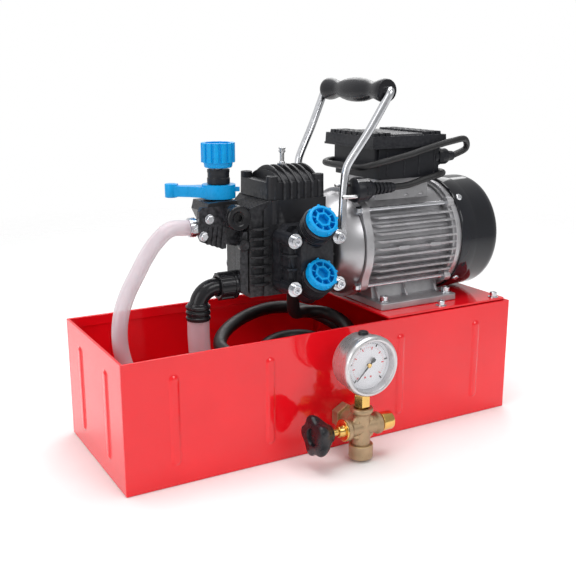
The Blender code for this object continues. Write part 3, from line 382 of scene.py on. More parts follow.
def carve(made, *tools):
    """Cut closed shapes out of a finished piece, before its edges are softened."""
    for k, tool in enumerate(tools):
        bmesh.ops.recalc_face_normals(tool.mesh, faces=tool.mesh.faces)
        tool.mesh.transform(Matrix.Scale(MM, 4))
        data = bpy.data.meshes.new("tool")
        tool.mesh.to_mesh(data)
        cutter = bpy.data.objects.new("tool", data)
        bpy.context.scene.collection.objects.link(cutter)
        step = made.modifiers.new("cut", "BOOLEAN")
        step.operation = "DIFFERENCE"
        step.solver = "EXACT"
        step.use_self = True
        step.object = cutter
        made.modifiers.move(len(made.modifiers) - 1, k)
        cutter.hide_render = True
        cutter.hide_viewport = True
    later = [m for m in made.modifiers if m.type != "BOOLEAN"]
    for m in later:
        m.show_viewport = False
    for cutter in [m.object for m in made.modifiers if m.type == "BOOLEAN"]:
        cutter.hide_viewport = False
    bpy.context.view_layer.update()
    result = bpy.data.meshes.new_from_object(made.evaluated_get(bpy.context.evaluated_depsgraph_get()))
    tools_used = [m.object for m in made.modifiers if m.type == "BOOLEAN"]
    for m in [m for m in made.modifiers if m.type == "BOOLEAN"]:
        made.modifiers.remove(m)
    made.data = result
    result.shade_smooth()
    result.set_sharp_from_angle(angle=math.radians(38))
    for tool in tools_used:
        bpy.data.objects.remove(tool, do_unlink=True)
    for m in later:
        m.show_viewport = True
    return made


def circle(radius, count, centre=(0, 0), start=0.0, sweep=2 * math.pi):
    steps = count if sweep >= 2 * math.pi else count - 1
    return [(centre[0] + radius * math.cos(start + sweep * i / steps),
             centre[1] + radius * math.sin(start + sweep * i / steps)) for i in range(count)]


def screw(shape, origin, direction, radius, height, drive="hex", washer=0.0, washer_thick=1.2):
    """A head with its drive recess, seen from the side it stands on, over an optional washer."""
    base = 0.0
    if washer:
        shape.lathe(((radius * 0.5, 0), (washer, 0), (washer, washer_thick), (radius * 0.5, washer_thick)),
                    origin, direction, 32)
        base = washer_thick
    place = frame_of(origin, direction)
    top = base + height
    if drive == "hex":
        shape.lathe(((radius * 0.50, base), (radius, base), (radius, top - 0.5), (radius - 0.5, top),
                     (radius * 0.58, top), (radius * 0.50, top - 0.5)), origin, direction, 24)
        shape.lathe(((0, base), (radius * 0.52, base), (radius * 0.52, top - height * 0.55),
                     (0, top - height * 0.55)), origin, direction, 12)
        shape.lathe(((radius * 0.40, base), (radius * 0.55, base), (radius * 0.55, top - 0.25),
                     (radius * 0.48, top - 0.15)), origin, direction, 6)
    elif drive == "outer":
        shape.lathe(((0, base), (radius, base), (radius, top - 0.6), (radius * 0.86, top), (0, top)), origin,
                    direction, 6)
    else:
        shape.lathe(((0, base), (radius, base), (radius * 0.97, base + height * 0.35),
                     (radius * 0.8, base + height * 0.75), (radius * 0.45, top - 0.1), (0, top)), origin,
                    direction, 24)
        for turn in (0.4, 0.4 + math.pi / 2):
            tilt = place @ Matrix.Rotation(turn, 4, "Z")
            half, wide = radius * 0.5, radius * 0.1
            corners = [(-half, -wide), (half, -wide), (half, wide), (-half, wide)]
            across, up = tilt.to_3x3() @ X, tilt.to_3x3() @ Y
            shape.prism(corners, place @ Vector((0, 0, top - 0.15)), across, up, 0.25)
    return shape


# ---------------------------------------------------------------- hoses and lead

def spline_points(stations, per_span):
    """Points on a Catmull-Rom curve through the stations, with its ends run on straight."""
    points = [Vector(p) for p in stations]
    points = [2 * points[0] - points[1], *points, 2 * points[-1] - points[-2]]
    out = []
    for i in range(1, len(points) - 2):
        a, b, c, d = points[i - 1:i + 3]
        for k in range(per_span):
            t = k / per_span
            out.append(0.5 * (2 * b + (c - a) * t + (2 * a - 5 * b + 4 * c - d) * t**2
                              + (3 * b - a - 3 * c + d) * t**3))
    return out + [points[-2]]


def length_of(points):
    return sum((b - a).length for a, b in zip(points, points[1:]))


def hose(name, route, radius, finish_of, node_name):
    """A hose or lead on its route, in metres."""
    fine = spline_points(route, 5)
    count = max(15, min(40, round(length_of(fine) / 0.02)))
    marks = [0.0]
    for a, b in zip(fine, fine[1:]):
        marks.append(marks[-1] + (b - a).length)
    line = []
    for i in range(count):
        want = marks[-1] * i / (count - 1)
        k = max(j for j in range(len(marks) - 1) if marks[j] <= want + 1e-12)
        line.append(fine[k].lerp(fine[k + 1], (want - marks[k]) / (marks[k + 1] - marks[k])))
    curve = bpy.data.curves.new(name, "CURVE")
    curve.dimensions = "3D"
    curve.bevel_depth = radius
    curve.bevel_resolution = 8
    curve.use_fill_caps = True
    curve.resolution_u = 6
    spline = curve.splines.new("BEZIER")
    spline.bezier_points.add(count - 1)
    for i, point in enumerate(line):
        knot = spline.bezier_points[i]
        before, after = line[max(i - 1, 0)], line[min(i + 1, count - 1)]
        reach = (after - before) / (6 if 0 < i < count - 1 else 3)
        knot.co = point
        knot.handle_left_type = knot.handle_right_type = "FREE"
        knot.handle_left = point - reach
        knot.handle_right = point + reach
    made = bpy.data.objects.new(name, curve)
    bpy.context.scene.collection.objects.link(made)
    curve.materials.append(finish_of)
    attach(made, "base")
    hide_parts(node_name)
    return made


SUCTION_ROUTE = [(-0.1326, -0.020, 0.1467), (-0.1326, -0.020, 0.125), (-0.130, -0.019, 0.085),
                 (-0.128, -0.018, 0.065), (-0.128, -0.018, 0.0401)]
RETURN_ROUTE = [(-0.1384, -0.012, 0.246), (-0.158, -0.012, 0.246), (-0.178, -0.014, 0.231),
                (-0.195, -0.017, 0.208), (-0.213, -0.020, 0.178), (-0.221, -0.023, 0.148),
                (-0.219, -0.027, 0.117), (-0.206, -0.032, 0.082), (-0.187, -0.037, 0.052),
                (-0.168, -0.041, 0.030)]
DELIVERY_ROUTE = [(0.008, 0.022, 0.1512), (0.008, 0.022, 0.131), (0.017, 0.028, 0.123), (0.034, 0.036, 0.120),
                  (0.053, 0.033, 0.118), (0.065, 0.012, 0.113), (0.062, -0.018, 0.107), (0.042, -0.044, 0.101),
                  (0.005, -0.060, 0.098), (-0.040, -0.058, 0.097), (-0.078, -0.038, 0.098),
                  (-0.095, -0.002, 0.101), (-0.082, 0.032, 0.106), (-0.048, 0.062, 0.112),
                  (-0.008, 0.077, 0.117), (0.028, 0.077, 0.117), (0.057, 0.060, 0.110), (0.071, 0.028, 0.101),
                  (0.068, -0.008, 0.093), (0.044, -0.038, 0.085), (0.004, -0.048, 0.079),
                  (-0.032, -0.032, 0.076), (-0.042, 0.004, 0.079), (-0.022, 0.038, 0.084),
                  (0.012, 0.051, 0.087), (0.042, 0.038, 0.086), (0.056, 0.008, 0.077), (0.047, -0.020, 0.061),
                  (0.024, -0.036, 0.046), (0.009, -0.042, 0.0385), (0.005, -0.054, 0.0374),
                  (0.005, -0.0758, 0.0374)]
LEAD_ROUTE = [(0.1904, -0.038, 0.308), (0.200, -0.038, 0.309), (0.207, -0.041, 0.315), (0.2065, -0.046, 0.323),
              (0.196, -0.0515, 0.328), (0.182, -0.055, 0.3278), (0.150, -0.055, 0.322), (0.111, -0.055, 0.313),
              (0.078, -0.055, 0.3074), (0.062, -0.051, 0.303), (0.057, -0.038, 0.301), (0.057, 0.0, 0.300),
              (0.060, 0.035, 0.300), (0.074, 0.050, 0.301), (0.110, 0.0515, 0.301), (0.150, 0.052, 0.2995),
              (0.168, 0.050, 0.2975), (0.176, 0.036, 0.295), (0.1755, -0.005, 0.2905), (0.175, -0.028, 0.290),
              (0.1725, -0.044, 0.2895), (0.162, -0.0525, 0.289), (0.144, -0.0535, 0.2865),
              (0.126, -0.0525, 0.2815), (0.109, -0.0512, 0.2782), (0.0963, -0.051, 0.278)]


def ribbed_plug():
    """Moulded plug: stepped round body, neck, ribbed relief, earth clips and two light pins."""
    y, z = -51.0, 278.0  # where the last point of the lead runs into it
    body = Shape()
    body.lathe(((0, 42), (12.6, 42), (13.6, 42.6), (14, 44), (14, 51), (13.3, 52), (13.2, 57), (12.2, 60),
                (9.2, 64.5), (7.6, 67), (7.3, 68), (5.2, 68.5), (5.0, 96.2), (0, 96.2)), (0, y, z), X, 40)
    for i in range(5):
        start = 69.6 + 5.2 * i
        radius = 7.4 - 0.35 * i
        body.lathe(((0, start), (radius - 0.7, start), (radius, start + 0.6), (radius, start + 2.5),
                    (radius - 0.7, start + 3.1), (0, start + 3.1)), (0, y, z), X, 32)
    for k in range(3):
        body.block((53 + 3 * k, y - 13.4 + k * 0.5, z - 5), (54.4 + 3 * k, y - 9, z + 5))
    plug = body.make("plug_body", SATIN_BLACK, slot="black_plastic", stands_for="power_plug", bevel=0.3)
    metal = Shape()
    tilt = math.radians(37)
    for side in (-1, 1):
        metal.lathe(((0, 23), (1.5, 23), (2.4, 24.6), (2.4, 44), (0, 44)),
                    (0, y + side * 7.59, z + side * 5.72), X, 24)
        outward = Vector((0, -math.sin(tilt), math.cos(tilt))) * side
        metal.prism([(0, -2.2), (15, -2.2), (15, 2.2), (0, 2.2)], Vector((42.2, y, z)) + outward * 13.3, X,
                    X.cross(outward), -1.3)
    pins = metal.make("plug_contacts", STAINLESS, slot="bright_steel", bevel=0.15)
    return plug, pins


def gland_and_relief():
    """Threaded gland, its nut and the tapered boot that the lead leaves through."""
    y, z = -38.0, 308.0  # where the lead starts
    body = Shape()
    body.lathe(((0, 160), (8.2, 160), (8.2, 165.3), (0, 165.3)), (0, y, z), X, 32)
    body.hexagon((165.3, y, z), (171, y, z), 10.4)
    body.lathe(((4.0, 170), (9.2, 170), (9.3, 178), (8.4, 180), (6.2, 183), (5.4, 190), (4.0, 190)),
               (0, y, z), X, 32)
    body.make("lead_gland", SATIN_BLACK, slot="black_plastic", stands_for="cable_gland", bevel=0.4)


PLUG, PLUG_CONTACTS = ribbed_plug()
gland_and_relief()


def basket_strainer():
    """Slotted basket on the suction hose's end, standing just over the tank's floor."""
    low, high = span("suction_strainer")
    mid = (low + high) / 2
    shape = Shape()
    foot = (mid.x, mid.y, 0)
    shape.lathe(((0, low.z), (15, low.z), (16.8, low.z + 1.6), (16.8, low.z + 4), (0, low.z + 4)), foot, Z, 40)
    shape.lathe(((0, 26), (16.8, 26), (16.8, 29.5), (12.6, 33.5), (12.6, high.z), (0, high.z)), foot, Z, 40)
    shape.rod((mid.x, mid.y, low.z), (mid.x, mid.y, 30), 13.4, 32)
    for i in range(20):
        angle = 2 * math.pi * i / 20
        place = Matrix.Translation((mid.x, mid.y, 0)) @ Matrix.Rotation(angle, 4, "Z")
        across, up = place.to_3x3() @ Y, Z
        shape.prism([(-0.9, 4), (0.9, 4), (0.9, 27), (-0.9, 27)], place @ Vector((12.8, 0, 0)), across, up, 3.8)
    return shape.make("strainer_basket", SATIN_BLACK, slot="black_plastic", stands_for="suction_strainer",
                      bevel=0.3)


basket_strainer()
hose("mains_lead", LEAD_ROUTE, 0.00375, RUBBER, "power_cable")
hose("suction_tube", SUCTION_ROUTE, 0.012, CLEAR_HOSE, "suction_hose")
hose("return_tube", RETURN_ROUTE, 0.00825, CLEAR_HOSE, "return_hose")
hose("delivery_tube", DELIVERY_ROUTE, 0.00775, RUBBER, "delivery_hose")


def hose_bores():
    """The darker bore that shows through the clear hoses' walls."""
    shape = Shape()
    for route, radius in ((SUCTION_ROUTE, 8.6), (RETURN_ROUTE, 5.6)):
        line = [p / MM for p in spline_points(route, 6)]
        shape.sweep(line[1:-1], radius, 20)
    shape.make("hose_bores", MIST, slot="clear_hose")


hose_bores()


# ---------------------------------------------------------------- tank and deck

SHEET, HEM = 1.5, 11.5
RIB_WIDTH, RIB_DEPTH, RIB_LOW, RIB_HIGH = 12.0, 1.8, 21.0, 118.0


def rib_height(u, z, ribs):
    """How far the sheet is pressed out at a point: a soft-shouldered bar with round ends."""
    height = 0.0
    for centre in ribs:
        radius = RIB_WIDTH / 2
        dz = max(RIB_LOW + radius - z, 0.0, z - (RIB_HIGH - radius))
        share = max(0.0, min(1.0, (radius - math.hypot(u - centre, dz)) / 3.6))
        height = max(height, RIB_DEPTH * share * share * (3 - 2 * share))
    return height


def stations(low, high, ribs, reach, step, coarse):
    """Marks along a wall's edge, close together over each rib's shoulders."""
    marks = {low, high}
    marks.update(low + (high - low) * i / coarse for i in range(coarse + 1))
    for centre in ribs:
        marks = {m for m in marks if abs(m - centre) > reach or m in (low, high)}
        marks.update(centre - reach + step * i for i in range(int(2 * reach / step) + 1))
    return sorted(m for m in marks if low <= m <= high)


def pressed_wall(shape, corner, across, width, height, ribs, outward):
    """One wall: an outer and an inner skin that follow the pressed ribs, joined round the edges."""
    columns = stations(0.0, width, [r + width / 2 for r in ribs], 7.0, 0.7, 8)
    rows = stations(0.0, height, [RIB_LOW + 3.0, RIB_HIGH - 3.0], 4.0, 0.8, 6)
    skins = []
    for lift in (0.0, -SHEET):
        skins.append([[shape.mesh.verts.new(corner + across * u + Z * z + outward * (
            lift + rib_height(u - width / 2, z, ribs))) for z in rows] for u in columns])
    for skin in skins:
        for a, b in zip(skin, skin[1:]):
            for k in range(len(rows) - 1):
                shape.mesh.faces.new((a[k], b[k], b[k + 1], a[k + 1]))
    rim = [[s[0] for s in skins], [s[-1] for s in skins],
           [[c[0] for c in s] for s in skins], [[c[-1] for c in s] for s in skins]]
    for first, second in rim:
        for k in range(len(first) - 1):
            shape.mesh.faces.new((first[k], first[k + 1], second[k + 1], second[k]))


def tank_shell():
    """Four pressed walls, the floor, and the hem folded in along the top."""
    low, high = span("tank")
    x0, x1 = low.x + RIB_DEPTH, high.x - RIB_DEPTH
    y0, y1 = low.y + RIB_DEPTH, high.y - RIB_DEPTH
    top = high.z
    long_ribs = (-191.0, -84.0, 83.0, 193.0)
    shape = Shape()
    pressed_wall(shape, Vector((x0, y0, low.z)), X, x1 - x0, top, long_ribs, -Y)
    pressed_wall(shape, Vector((x0, y1, low.z)), X, x1 - x0, top, long_ribs, Y)
    pressed_wall(shape, Vector((x0, y0 + SHEET, low.z)), Y, y1 - y0 - 2 * SHEET, top, (-43.0, 43.0), -X)
    pressed_wall(shape, Vector((x1, y0 + SHEET, low.z)), Y, y1 - y0 - 2 * SHEET, top, (-43.0, 43.0), X)
    shape.block((x0 + SHEET, y0 + SHEET, low.z), (x1 - SHEET, y1 - SHEET, low.z + SHEET))
    shape.make("tank_walls", RED, slot="red_paint", stands_for="tank", bevel=0.5, angle=60, smooth=50)
    hem = Shape()
    inset = SHEET + 0.05
    for a, b in (((x0 + inset, y0 + inset), (x1 - inset, y0 + inset + 1.3)),
                 ((x0 + inset, y1 - inset - 1.3), (x1 - inset, y1 - inset)),
                 ((x0 + inset, y0 + inset + 1.3), (x0 + inset + 1.3, y1 - inset - 1.3)),
                 ((x1 - inset - 1.3, y0 + inset + 1.3), (x1 - inset, y1 - inset - 1.3))):
        hem.block((*a, top - HEM), (*b, top - 0.15))
    hem.make("tank_hem", RED, slot="red_paint", bevel=0.5)


def deck():
    """The plate the motor stands on, with rounded corners and four screws."""
    low, high = span("deck_plate")
    shape = Shape()
    corners = []
    for sx, sy, start in ((high.x, high.y, 0), (low.x, high.y, 90), (low.x, low.y, 180), (high.x, low.y, 270)):
        cx = sx - math.copysign(3, sx - (low.x + high.x) / 2)
        cy = sy - math.copysign(3, sy)
        corners += circle(3, 5, (cx, cy), math.radians(start), math.pi / 2)
    shape.prism(corners, (0, 0, low.z), X, Y, high.z - low.z)
    shape.make("deck_sheet", RED, slot="red_paint", stands_for="deck_plate", bevel=0.5)
    screws = Shape()
    for x in (148.7, 228.9):
        for y in (-80, 80):
            screw(screws, (x, y, high.z), Z, 4.3, 5.4, washer=6.2, washer_thick=0.9)
    screws.make("deck_screws", ZINC, slot="zinc_steel", bevel=0.2)


tank_shell()
deck()


# ---------------------------------------------------------------- motor

RODS = [(side * 48.0, level * 44.0) for side in (-1, 1) for level in (-1, 1)]  # y and z from the shaft
FIN_PITCH, FIN_HALF, FIN_TIP, FIN_ROOT = 8.6, 1.15, 66.3, 55.5


def motor_frame():
    """Die-cast barrel: smooth crown, level fins with swept front ends, rear ring, pedestal and foot."""
    low, high = span("motor_frame")
    shape = Shape()
    shape.ring((low.x, 0, AXIS_Z), (high.x, 0, AXIS_Z), 52.2, 57.0, 96)
    for level in (1, -1):
        arc = circle(61.0, 17, (0, AXIS_Z), math.radians(level * 90 - 43), math.radians(86))
        inner = circle(54.0, 17, (0, AXIS_Z), math.radians(level * 90 - 43), math.radians(86))
        shape.prism(arc + inner[::-1], (low.x + 6, 0, 0), Y, Z, high.x - low.x - 9)
    for k in range(9):
        z = (k - 4) * FIN_PITCH
        tip = math.sqrt(FIN_TIP**2 - z * z)
        root = math.sqrt(FIN_ROOT**2 - z * z)
        for side in (-1, 1):
            plan = [(66, root), (67.5, root + 4), (74, tip), (high.x - 3, tip), (high.x - 3, root)]
            fin = [(x, side * y) for x, y in plan]
            for lift in (-FIN_HALF, 0.0):
                shape.prism(fin, (0, 0, AXIS_Z + z + lift), X, Y, FIN_HALF)
    shape.ring((high.x - 7, 0, AXIS_Z), (high.x - 0.3, 0, AXIS_Z), 52.3, 63.8, 96)
    for y, z in RODS:
        shape.rod((high.x - 9, y, AXIS_Z + z), (high.x - 0.2, y, AXIS_Z + z), 6.4, 24)
    shape.make("motor_barrel", CAST_ALUMINIUM, slot="aluminium_casting", stands_for="motor_frame", bevel=0.45)
    crown = Shape()
    crown.prism([(-34, AXIS_Z + 44), (34, AXIS_Z + 44), (31, 285.6), (-31, 285.6)], (86, 0, 0), Y, Z, 74)
    for x in (72, 128, 150):
        crown.prism(circle(7.5, 20, (x, 0)), (0, -27, AXIS_Z + 53), X, Y, 3.2, inset=0.1)
    crown.make("motor_crown", CAST_ALUMINIUM, slot="aluminium_casting", bevel=0.9, steps=3)
    tabs = Shape()
    for x in (103.5, 148.5):
        for side in (-1, 1):
            outline = circle(2.2, 9, (x + 6, AXIS_Z), -math.pi / 2, math.pi)
            outline += circle(2.2, 9, (x - 6, AXIS_Z), math.pi / 2, math.pi)
            tabs.prism(outline, (0, side * 60.0, 0), X, Z, -side * 6.4)
    tabs.make("fin_tabs", TURNED_ALUMINIUM, slot="aluminium_casting", bevel=0.4)
    foot = Shape()
    corners = []
    for cx, cy, start in ((179, 63, 0), (78, 63, 90), (78, -63, 180), (179, -63, 270)):
        corners += circle(4, 6, (cx, cy), math.radians(start), math.pi / 2)
    foot.prism(corners, (0, 0, low.z), X, Y, 7.4, inset=0.006)
    foot.prism([(-38, 146.5), (38, 146.5), (33, 168), (-33, 168)], (80, 0, 0), Y, Z, 96)
    for x in (84, 124, 168):
        for side in (-1, 1):
            foot.prism([(side * 36, 147), (side * 46, 147), (side * 37, 160), (side * 33, 163)],
                       (x, 0, 0), Y, Z, 3.6)
    foot.make("motor_foot", CAST_ALUMINIUM, slot="aluminium_casting", bevel=0.9, steps=3)
    bolts = Shape()
    for n in range(1, 5):
        mid = middle(f"foot_bolt_{n}")
        screw(bolts, (mid.x, mid.y, 147.3), Z, 5.0, 5.6, washer=7.2, washer_thick=1.2)
        bolts.hexagon((mid.x, mid.y, 131.5), (mid.x, mid.y, 136.3), 6.2)
        bolts.rod((mid.x, mid.y, 130.6), (mid.x, mid.y, 148), 2.9, 16)
    bolts.make("foot_screws", ZINC, slot="zinc_steel", bevel=0.2,
               stands_for=[f"foot_bolt_{n}" for n in range(1, 5)])


def bell_housing():
    """Turned front bell: a smooth dome, the flange band with rod bosses, and the lugs for the handle."""
    high = span("drive_end_shield")[1]
    dome = Shape()
    dome.lathe(((9, 26.2), (45.6, 26.2), (47.8, 26.9), (49.4, 28.6), (52.2, 33), (55.6, 39.5), (58.2, 45.5),
                (59.8, 50.5), (60.4, 53), (52, 53), (46, 46), (9, 46)), (0, 0, AXIS_Z), X, 96)
    dome.make("bell_dome", TURNED_ALUMINIUM, slot="aluminium_casting", stands_for="drive_end_shield", bevel=0.3,
              smooth=50)
    band = Shape()
    outline = []
    for i in range(96):
        angle = 2 * math.pi * i / 96
        radius = 64.2
        for y, z in RODS:
            gap = math.remainder(angle - math.atan2(z, y), 2 * math.pi)
            radius = max(radius, 64.2 + 5.6 * math.exp(-(gap / 0.13) ** 2))
        outline.append((radius * math.cos(angle), AXIS_Z + radius * math.sin(angle)))
    inner = circle(52.2, 96, (0, AXIS_Z))
    rim = [[band.mesh.verts.new((x, *p)) for p in loop] for x, loop in
           ((53.6, inner), (53.6, outline), (63.6, outline), (63.6, inner))]
    for first, second in zip(rim, rim[1:] + rim[:1]):
        for k in range(96):
            n = (k + 1) % 96
            band.mesh.faces.new((first[k], first[n], second[n], second[k]))
    band.ring((63.5, 0, AXIS_Z), (66.4, 0, AXIS_Z), 52.2, 60.5, 72)
    band.make("bell_band", CAST_ALUMINIUM, slot="aluminium_casting", bevel=0.7, steps=3)
    lugs = Shape()
    for side in (-1, 1):
        lugs.prism([(21.6, 221), (33, 221), (39, 226), (39, 240), (31, 243), (21.6, 243)], (0, side * 37, 0),
                   X, Z, -side * 11.6, inset=0.04)
        lugs.rod((25, side * 44, 232), (25, side * 49, 232), 7.2, 28)
    lugs.make("bell_lugs", CAST_ALUMINIUM, slot="aluminium_casting", bevel=0.8, steps=3)
    rods = Shape()
    for n, (y, z) in enumerate(RODS):
        place = AXIS_Z + z
        screw(rods, (53.4, y, place), -X, 4.6, 4.6, drive="outer", washer=6.0, washer_thick=1.0)
        rods.rod((52, y, place), (187, y, place), 2.6, 20)
        rods.hexagon((high.x + 0.4, y, place), (high.x + 1.2, y, place), 3.2)
    rods.make("tie_rods", ZINC, slot="zinc_steel", stands_for=[f"tie_rod_{n}" for n in range(1, 5)], bevel=0.2)


def rear_shield_and_cover():
    """Rear end shield, and the fan cowl with rings and spokes over its mouth."""
    shape = Shape()
    shape.lathe(((9, 186), (63, 186), (63, 196), (66.6, 196), (66.8, 179.4), (24, 179.4), (24, 170),
                 (17.8, 170), (17.8, 182.5), (9, 182.5)), (0, 0, AXIS_Z), X, 96)
    shape.make("rear_shield", CAST_ALUMINIUM, slot="aluminium_casting", stands_for="rear_end_shield", bevel=0.5)
    low, high = span("fan_cover")
    radius = (high.y - low.y) / 2
    end, bend = high.x, high.x - 14.0
    cover = Shape()
    outer = [(radius - 0.9, low.x), (radius - 0.2, low.x + 0.8), (radius, low.x + 2), (radius, low.x + 20),
             (radius - 0.15, low.x + 20.6), (radius - 0.9, low.x + 21.2), (radius - 1.0, low.x + 22),
             (radius - 1.0, bend)]
    outer += [(radius - 1 - 9.5 * (1 - math.cos(a)), bend + 14 * math.sin(a))
              for a in (math.radians(x) for x in (12, 24, 36, 48, 60, 72, 82))]
    outer += [(52, end), (48, end - 0.4), (46, end - 1.6)]
    inner = [(44, end - 3.0), (54, end - 2.4)]
    inner += [(r - 1.9, x - 1.6) for r, x in reversed(outer[8:14])]
    inner += [(radius - 2.6, bend - 4), (radius - 2.6, low.x)]
    cover.lathe(outer + inner, (0, 0, AXIS_Z), X, 112)
    for i in range(3):
        cover.ring((end - 3.2, 0, AXIS_Z), (end - 1.6, 0, AXIS_Z), 12 + 11 * i, 15 + 11 * i, 72)
    for i in range(12):
        turn = Matrix.Rotation(2 * math.pi * i / 12, 4, "X")
        low_point = Vector((end - 3.1, 0, AXIS_Z))
        across, up = turn.to_3x3() @ Y, turn.to_3x3() @ Z
        cover.prism([(-1.6, 11), (1.6, 11), (1.6, 46), (-1.6, 46)], low_point, across, up, 1.5)
    cover.rod((end - 3.4, 0, AXIS_Z), (end - 1.2, 0, AXIS_Z), 12.4, 48, soft=0.6)
    cover.make("fan_cowl", GLOSS_BLACK, slot="black_gloss_plastic", stands_for="fan_cover", bevel=0.25,
               smooth=45)
    screws = Shape()
    for i in range(4):
        angle = math.pi / 4 + i * math.pi / 2
        outward = Vector((0, math.cos(angle), math.sin(angle)))
        screw(screws, Vector((194, 0, AXIS_Z)) + outward * (radius - 0.4), outward, 4.3, 2.4, drive="pan")
    screws.make("cowl_screws", ZINC, slot="zinc_steel", bevel=0.15)


def connection_box():
    """Box with stepped sides, and a lid with lattice ends round a plain lighter panel."""
    low, high = span("terminal_box")
    shape = Shape()
    shape.block((low.x, low.y, low.z), (high.x, high.y, high.z))
    shape.block((low.x - 4, low.y + 3, low.z + 14), (low.x + 3, high.y - 3, high.z))
    for x in (low.x + 10, low.x + 34, high.x - 30, high.x - 8):
        for side in (-1, 1):
            shape.block((x, side * 45.0 - 0.9, low.z + 4), (x + 2.2, side * 45.0 + 0.9, high.z - 3))
    shape.make("connection_box", SATIN_BLACK, slot="black_plastic", stands_for="terminal_box", bevel=1.0,
               steps=3)
    lid_low, lid_high = span("terminal_box_lid")
    lid = Shape()
    lid.prism([(lid_low.x, lid_low.y), (lid_high.x, lid_low.y), (lid_high.x, lid_high.y),
               (lid_low.x, lid_high.y)], (0, 0, lid_low.z), X, Y, 13.5, inset=0.012)
    lid.block((lid_low.x - 0.8, lid_low.y - 0.4, lid_low.z), (lid_high.x + 0.4, lid_high.y + 0.4, lid_low.z + 2.4))
    for start, count in ((lid_low.x + 4, 3), (lid_high.x - 28, 3)):
        for i in range(count):
            for j in range(8):
                y = -45.5 + 11.6 * j
                lid.prism([(0, 0), (6.6, 0), (6.6, 9.6), (0, 9.6)], (start + 8.2 * i, y, lid_low.z + 13.2), X, Y,
                          3.9, inset=0.12)
    for y in (-44, 44):
        for x in (lid_low.x + 34, lid_high.x - 34):
            screw(lid, (x, y, lid_low.z + 13.3), Z, 3.1, 1.6, drive="pan")
    lid.make("box_lid", SATIN_BLACK, slot="black_plastic", stands_for="terminal_box_lid", bevel=0.7, steps=3)
    panel = Shape()
    panel.prism([(98, -46), (140, -46), (140, 46), (98, 46)], (0, 0, lid_low.z + 13.2), X, Y, 2.2, inset=0.02)
    panel.make("lid_panel", LID_GREY, slot="black_plastic", bevel=0.8, steps=3)


motor_frame()
bell_housing()
rear_shield_and_cover()
connection_box()


# ---------------------------------------------------------------- carry handle

HANDLE_LEG = [(25, -53.5, 232), (26, -53.5, 241), (27, -52.8, 250), (28.2, -51.5, 262), (29.3, -51, 278),
              (30.6, -51, 291), (31.6, -51.4, 299), (35.5, -53, 310), (54.6, -59.4, 341), (72.5, -65.3, 374),
              (76.3, -66.3, 381.5), (78, -64.5, 384.5), (78, -58, 384.5), (78, -48, 384.5)]


def handle():
    """Bent round bar on the bell's lugs, with a turned grip across its top."""
    run = HANDLE_LEG + [(x, -y, z) for x, y, z in reversed(HANDLE_LEG)]
    bar = Shape()
    bar.sweep(spline_points(run, 6), 4.5, 28)
    for side in (-1, 1):
        bar.prism(circle(7.4, 32, (25, 232)), (0, side * 49.2, 0), X, Z, -side * 4.6)
        screw(bar, (25, side * 53.6, 232), (0, side, 0), 5.0, 3.2, drive="outer")
    bar.make("handle_bar", ZINC, slot="zinc_steel", stands_for="handle_frame", bevel=0.4)
    grip = Shape()
    half = [(12.0, 60), (12.6, 58.5), (12.8, 55), (12.3, 50), (10.8, 44), (9.4, 38), (9.0, 34), (9.6, 29),
            (11.4, 22), (12.8, 14), (13.4, 6)]
    profile = [(0, 60.2), (10.5, 60.2), *half, (13.5, 0), *[(r, -h) for r, h in reversed(half)],
               (10.5, -60.2), (0, -60.2)]
    grip.lathe([(r, -h) for r, h in profile], (78, 0, 384.5), Y, 48)
    grip.make("handle_grip_turned", GRIP, slot="black_rubber", stands_for="handle_grip", smooth=60)


handle()


# ---------------------------------------------------------------- pump

VALVE_TILT = math.radians(38.0)


def crankcase():
    """Satin housing: sloped toothed shoulder, corner column, and horizontal fins on the front left."""
    low, high = span("crankcase")
    left, right, front = low.x, high.x, high.y
    shape = Shape()
    outline = [(left + 16, low.z), (right, low.z), (right, 238), (15, 242), (15, high.z), (-53, high.z),
               (left + 16, 262)]
    shape.prism(outline, (0, front, 0), X, Z, 2 * front)
    shape.prism([(left, low.z), (left + 17, low.z), (left + 17, 264), (left, 260.5)], (0, 15.5, 0), X, Z,
                front + 15.5 - 2.6)
    shape.rod((-48, -front + 5.6, 246), (-48, -front + 5.6, high.z), 6.8, 28)
    shape.rod((PUMP_X - 8, 0, low.z + 1), (PUMP_X - 8, 0, low.z + 2), 5, 12)
    body = shape.make("pump_housing", PUMP_GREY, slot="pump_casting", stands_for="crankcase", bevel=1.3, steps=3)
    bore = Shape().rod((PUMP_X, -60, AXIS_Z), (PUMP_X, 60, AXIS_Z), 25, 48)
    shaft = Shape().rod((-58.5, 0, AXIS_Z), (40, 0, AXIS_Z), 11, 32)
    journal = Shape().rod((-69, 0, AXIS_Z), (-50, 0, AXIS_Z), 8.4, 32)
    carve(body, bore, shaft, journal)
    fins = Shape()
    for i in range(7):
        z = 181.3 + 10.0 * i
        plan = [(-77.5, 0)] + [(-77.5 + 24 * s, 7.6 * math.sin(math.pi * min(1.0, 0.12 + s * 0.88)) ** 0.7 + 0.3)
                             for s in (j / 10 for j in range(1, 10))] + [(-53.5, 0)]
        fins.prism([(x, -d) for x, d in plan], (0, -front + 0.6 + 1.2, z), X, Y, 2.3)
    for i in range(12):
        fins.prism([(left, 244), (-54, 244), (-54, high.z - 0.2), (left + 1, 265.3), (left, 264.3)],
                   (0, -front + 4.3 + 4.2 * i, 0), X, Z, 1.9)
    fins.make("housing_fins", PUMP_GREY, slot="pump_casting", bevel=0.4)


